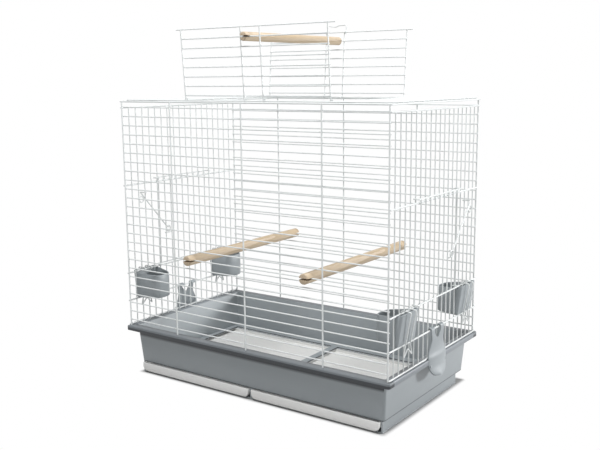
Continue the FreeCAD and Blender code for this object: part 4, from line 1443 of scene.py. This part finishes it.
@dataclass(frozen=True)
class Studio:
    """Floor, light and camera of the photograph."""

    lens: float = 50.2
    spot: Spot = (0.7845, -1.1077, 0.4957)
    yaw: float = 35.146
    pitch: float = 9.893
    roll: float = -0.530
    sky: float = 0.3
    floor_rings: tuple[float, ...] = (4000.0, 1200.0, 500.0)
    floor_sides: int = 64
    floor_z: float = -0.2
    shadow: float = 10.0

    def build(self) -> None:
        """Sets up the whole studio."""
        bpy.context.scene.view_settings.view_transform = "Standard"
        self.world()
        self.floor()
        for lamp in LAMPS:
            lamp.build()
        self.camera()
        LOG.info("studio ready")

    def world(self) -> None:
        """White where the camera looks or a surface mirrors it, and soft grey light elsewhere."""
        world = bpy.data.worlds.new("studio_sky")
        bpy.context.scene.world = world
        tree = empty_tree(world)
        paper = linear("#ffffff")
        soft, white = (add_node(tree, "ShaderNodeBackground", {"Color": paper, "Strength": strength})
                       for strength in (self.sky, 1.0))
        mix = add_node(tree, "ShaderNodeMixShader",
                       {0: self.seen(tree), 1: soft.outputs[0], 2: white.outputs[0]})
        add_node(tree, "ShaderNodeOutputWorld", {"Surface": mix.outputs[0]})

    def seen(self, tree: bpy.types.NodeTree) -> bpy.types.NodeSocket:
        """Tells the rays by which something is looked at from those that only light it.

        Args:
            tree: the nodes that need it.

        Returns:
            1 for rays from the camera, a mirror or glass, and 0 for others.
        """
        rays = add_node(tree, "ShaderNodeLightPath").outputs
        found = rays["Is Camera Ray"]
        for name in ("Is Glossy Ray", "Is Transmission Ray"):
            found = add_node(tree, "ShaderNodeMath", {0: found, 1: rays[name]},
                             operation="MAXIMUM").outputs[0]
        return found

    def floor(self) -> None:
        """A pale floor that keeps the shadow near the cage and turns into plain white further out."""
        shape, sides = Shape(), self.floor_sides
        rings = [[Vector((x, y, self.floor_z)) for x, y in ring(radius, sides)]
                 for radius in self.floor_rings]
        shape.loft(rings, caps=False)
        shape.faces.append(tuple(range(len(shape.verts) - sides, len(shape.verts))))
        floor = shape.mesh("studio_floor", 60.0)
        made = bpy.data.materials.new("white_paper_floor")
        tree = empty_tree(made)
        # How far a spot lies outside the foot of the base.
        away = add_node(tree, "ShaderNodeTexCoord").outputs["Object"]
        foot = (BasePlinth.half_x * MM, BasePlinth.front * MM, 0.0)
        for operation, other in (("ABSOLUTE", {}), ("SUBTRACT", {1: foot}), ("MAXIMUM", {})):
            away = add_node(tree, "ShaderNodeVectorMath", {0: away} | other, operation=operation).outputs[0]
        away = add_node(tree, "ShaderNodeVectorMath", {0: away}, operation="LENGTH").outputs["Value"]
        far = add_node(tree, "ShaderNodeMapRange",
                       {"Value": away, "From Min": 0.0, "From Max": self.shadow * MM},
                       interpolation_type="SMOOTHSTEP")
        factor = add_node(tree, "ShaderNodeMath", {0: far.outputs["Result"], 1: self.seen(tree)},
                          operation="MULTIPLY")
        paper = add_node(tree, "ShaderNodeBsdfDiffuse", {"Color": linear("#bcbcbc")})
        white = add_node(tree, "ShaderNodeEmission", {"Color": linear("#ffffff"), "Strength": 1.0})
        mix = add_node(tree, "ShaderNodeMixShader",
                       {0: factor.outputs[0], 1: paper.outputs[0], 2: white.outputs[0]})
        add_node(tree, "ShaderNodeOutputMaterial", {"Surface": mix.outputs[0]})
        floor.data.materials.append(made)

    def camera(self) -> None:
        """Puts the camera where the photograph was taken from."""
        yaw, pitch, roll = (math.radians(angle) for angle in (self.yaw, self.pitch, self.roll))
        ahead = Vector((-math.sin(yaw), math.cos(yaw), 0))
        right = Vector((math.cos(yaw), math.sin(yaw), 0))
        up = Vector((0, 0, 1))
        forward = ahead * math.cos(pitch) - up * math.sin(pitch)
        above = up * math.cos(pitch) + ahead * math.sin(pitch)
        across = right * math.cos(roll) + above * math.sin(roll)
        above = above * math.cos(roll) - right * math.sin(roll)
        data = bpy.data.cameras.new("photo_camera")
        data.lens = self.lens
        data.sensor_width = 36.0
        data.clip_start = 0.05
        made = bpy.data.objects.new("photo_camera", data)
        turn = Matrix((across, above, -forward)).transposed().to_4x4()
        made.matrix_world = Matrix.Translation(self.spot) @ turn
        bpy.context.scene.collection.objects.link(made)
        bpy.context.scene.camera = made


def main() -> None:
    """Builds every piece and the studio."""
    logging.basicConfig(level=logging.INFO, format="%(message)s")
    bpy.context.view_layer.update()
    for piece in cage_pieces():
        piece.make()
    Studio().build()


if __name__ == "__main__":
    main()
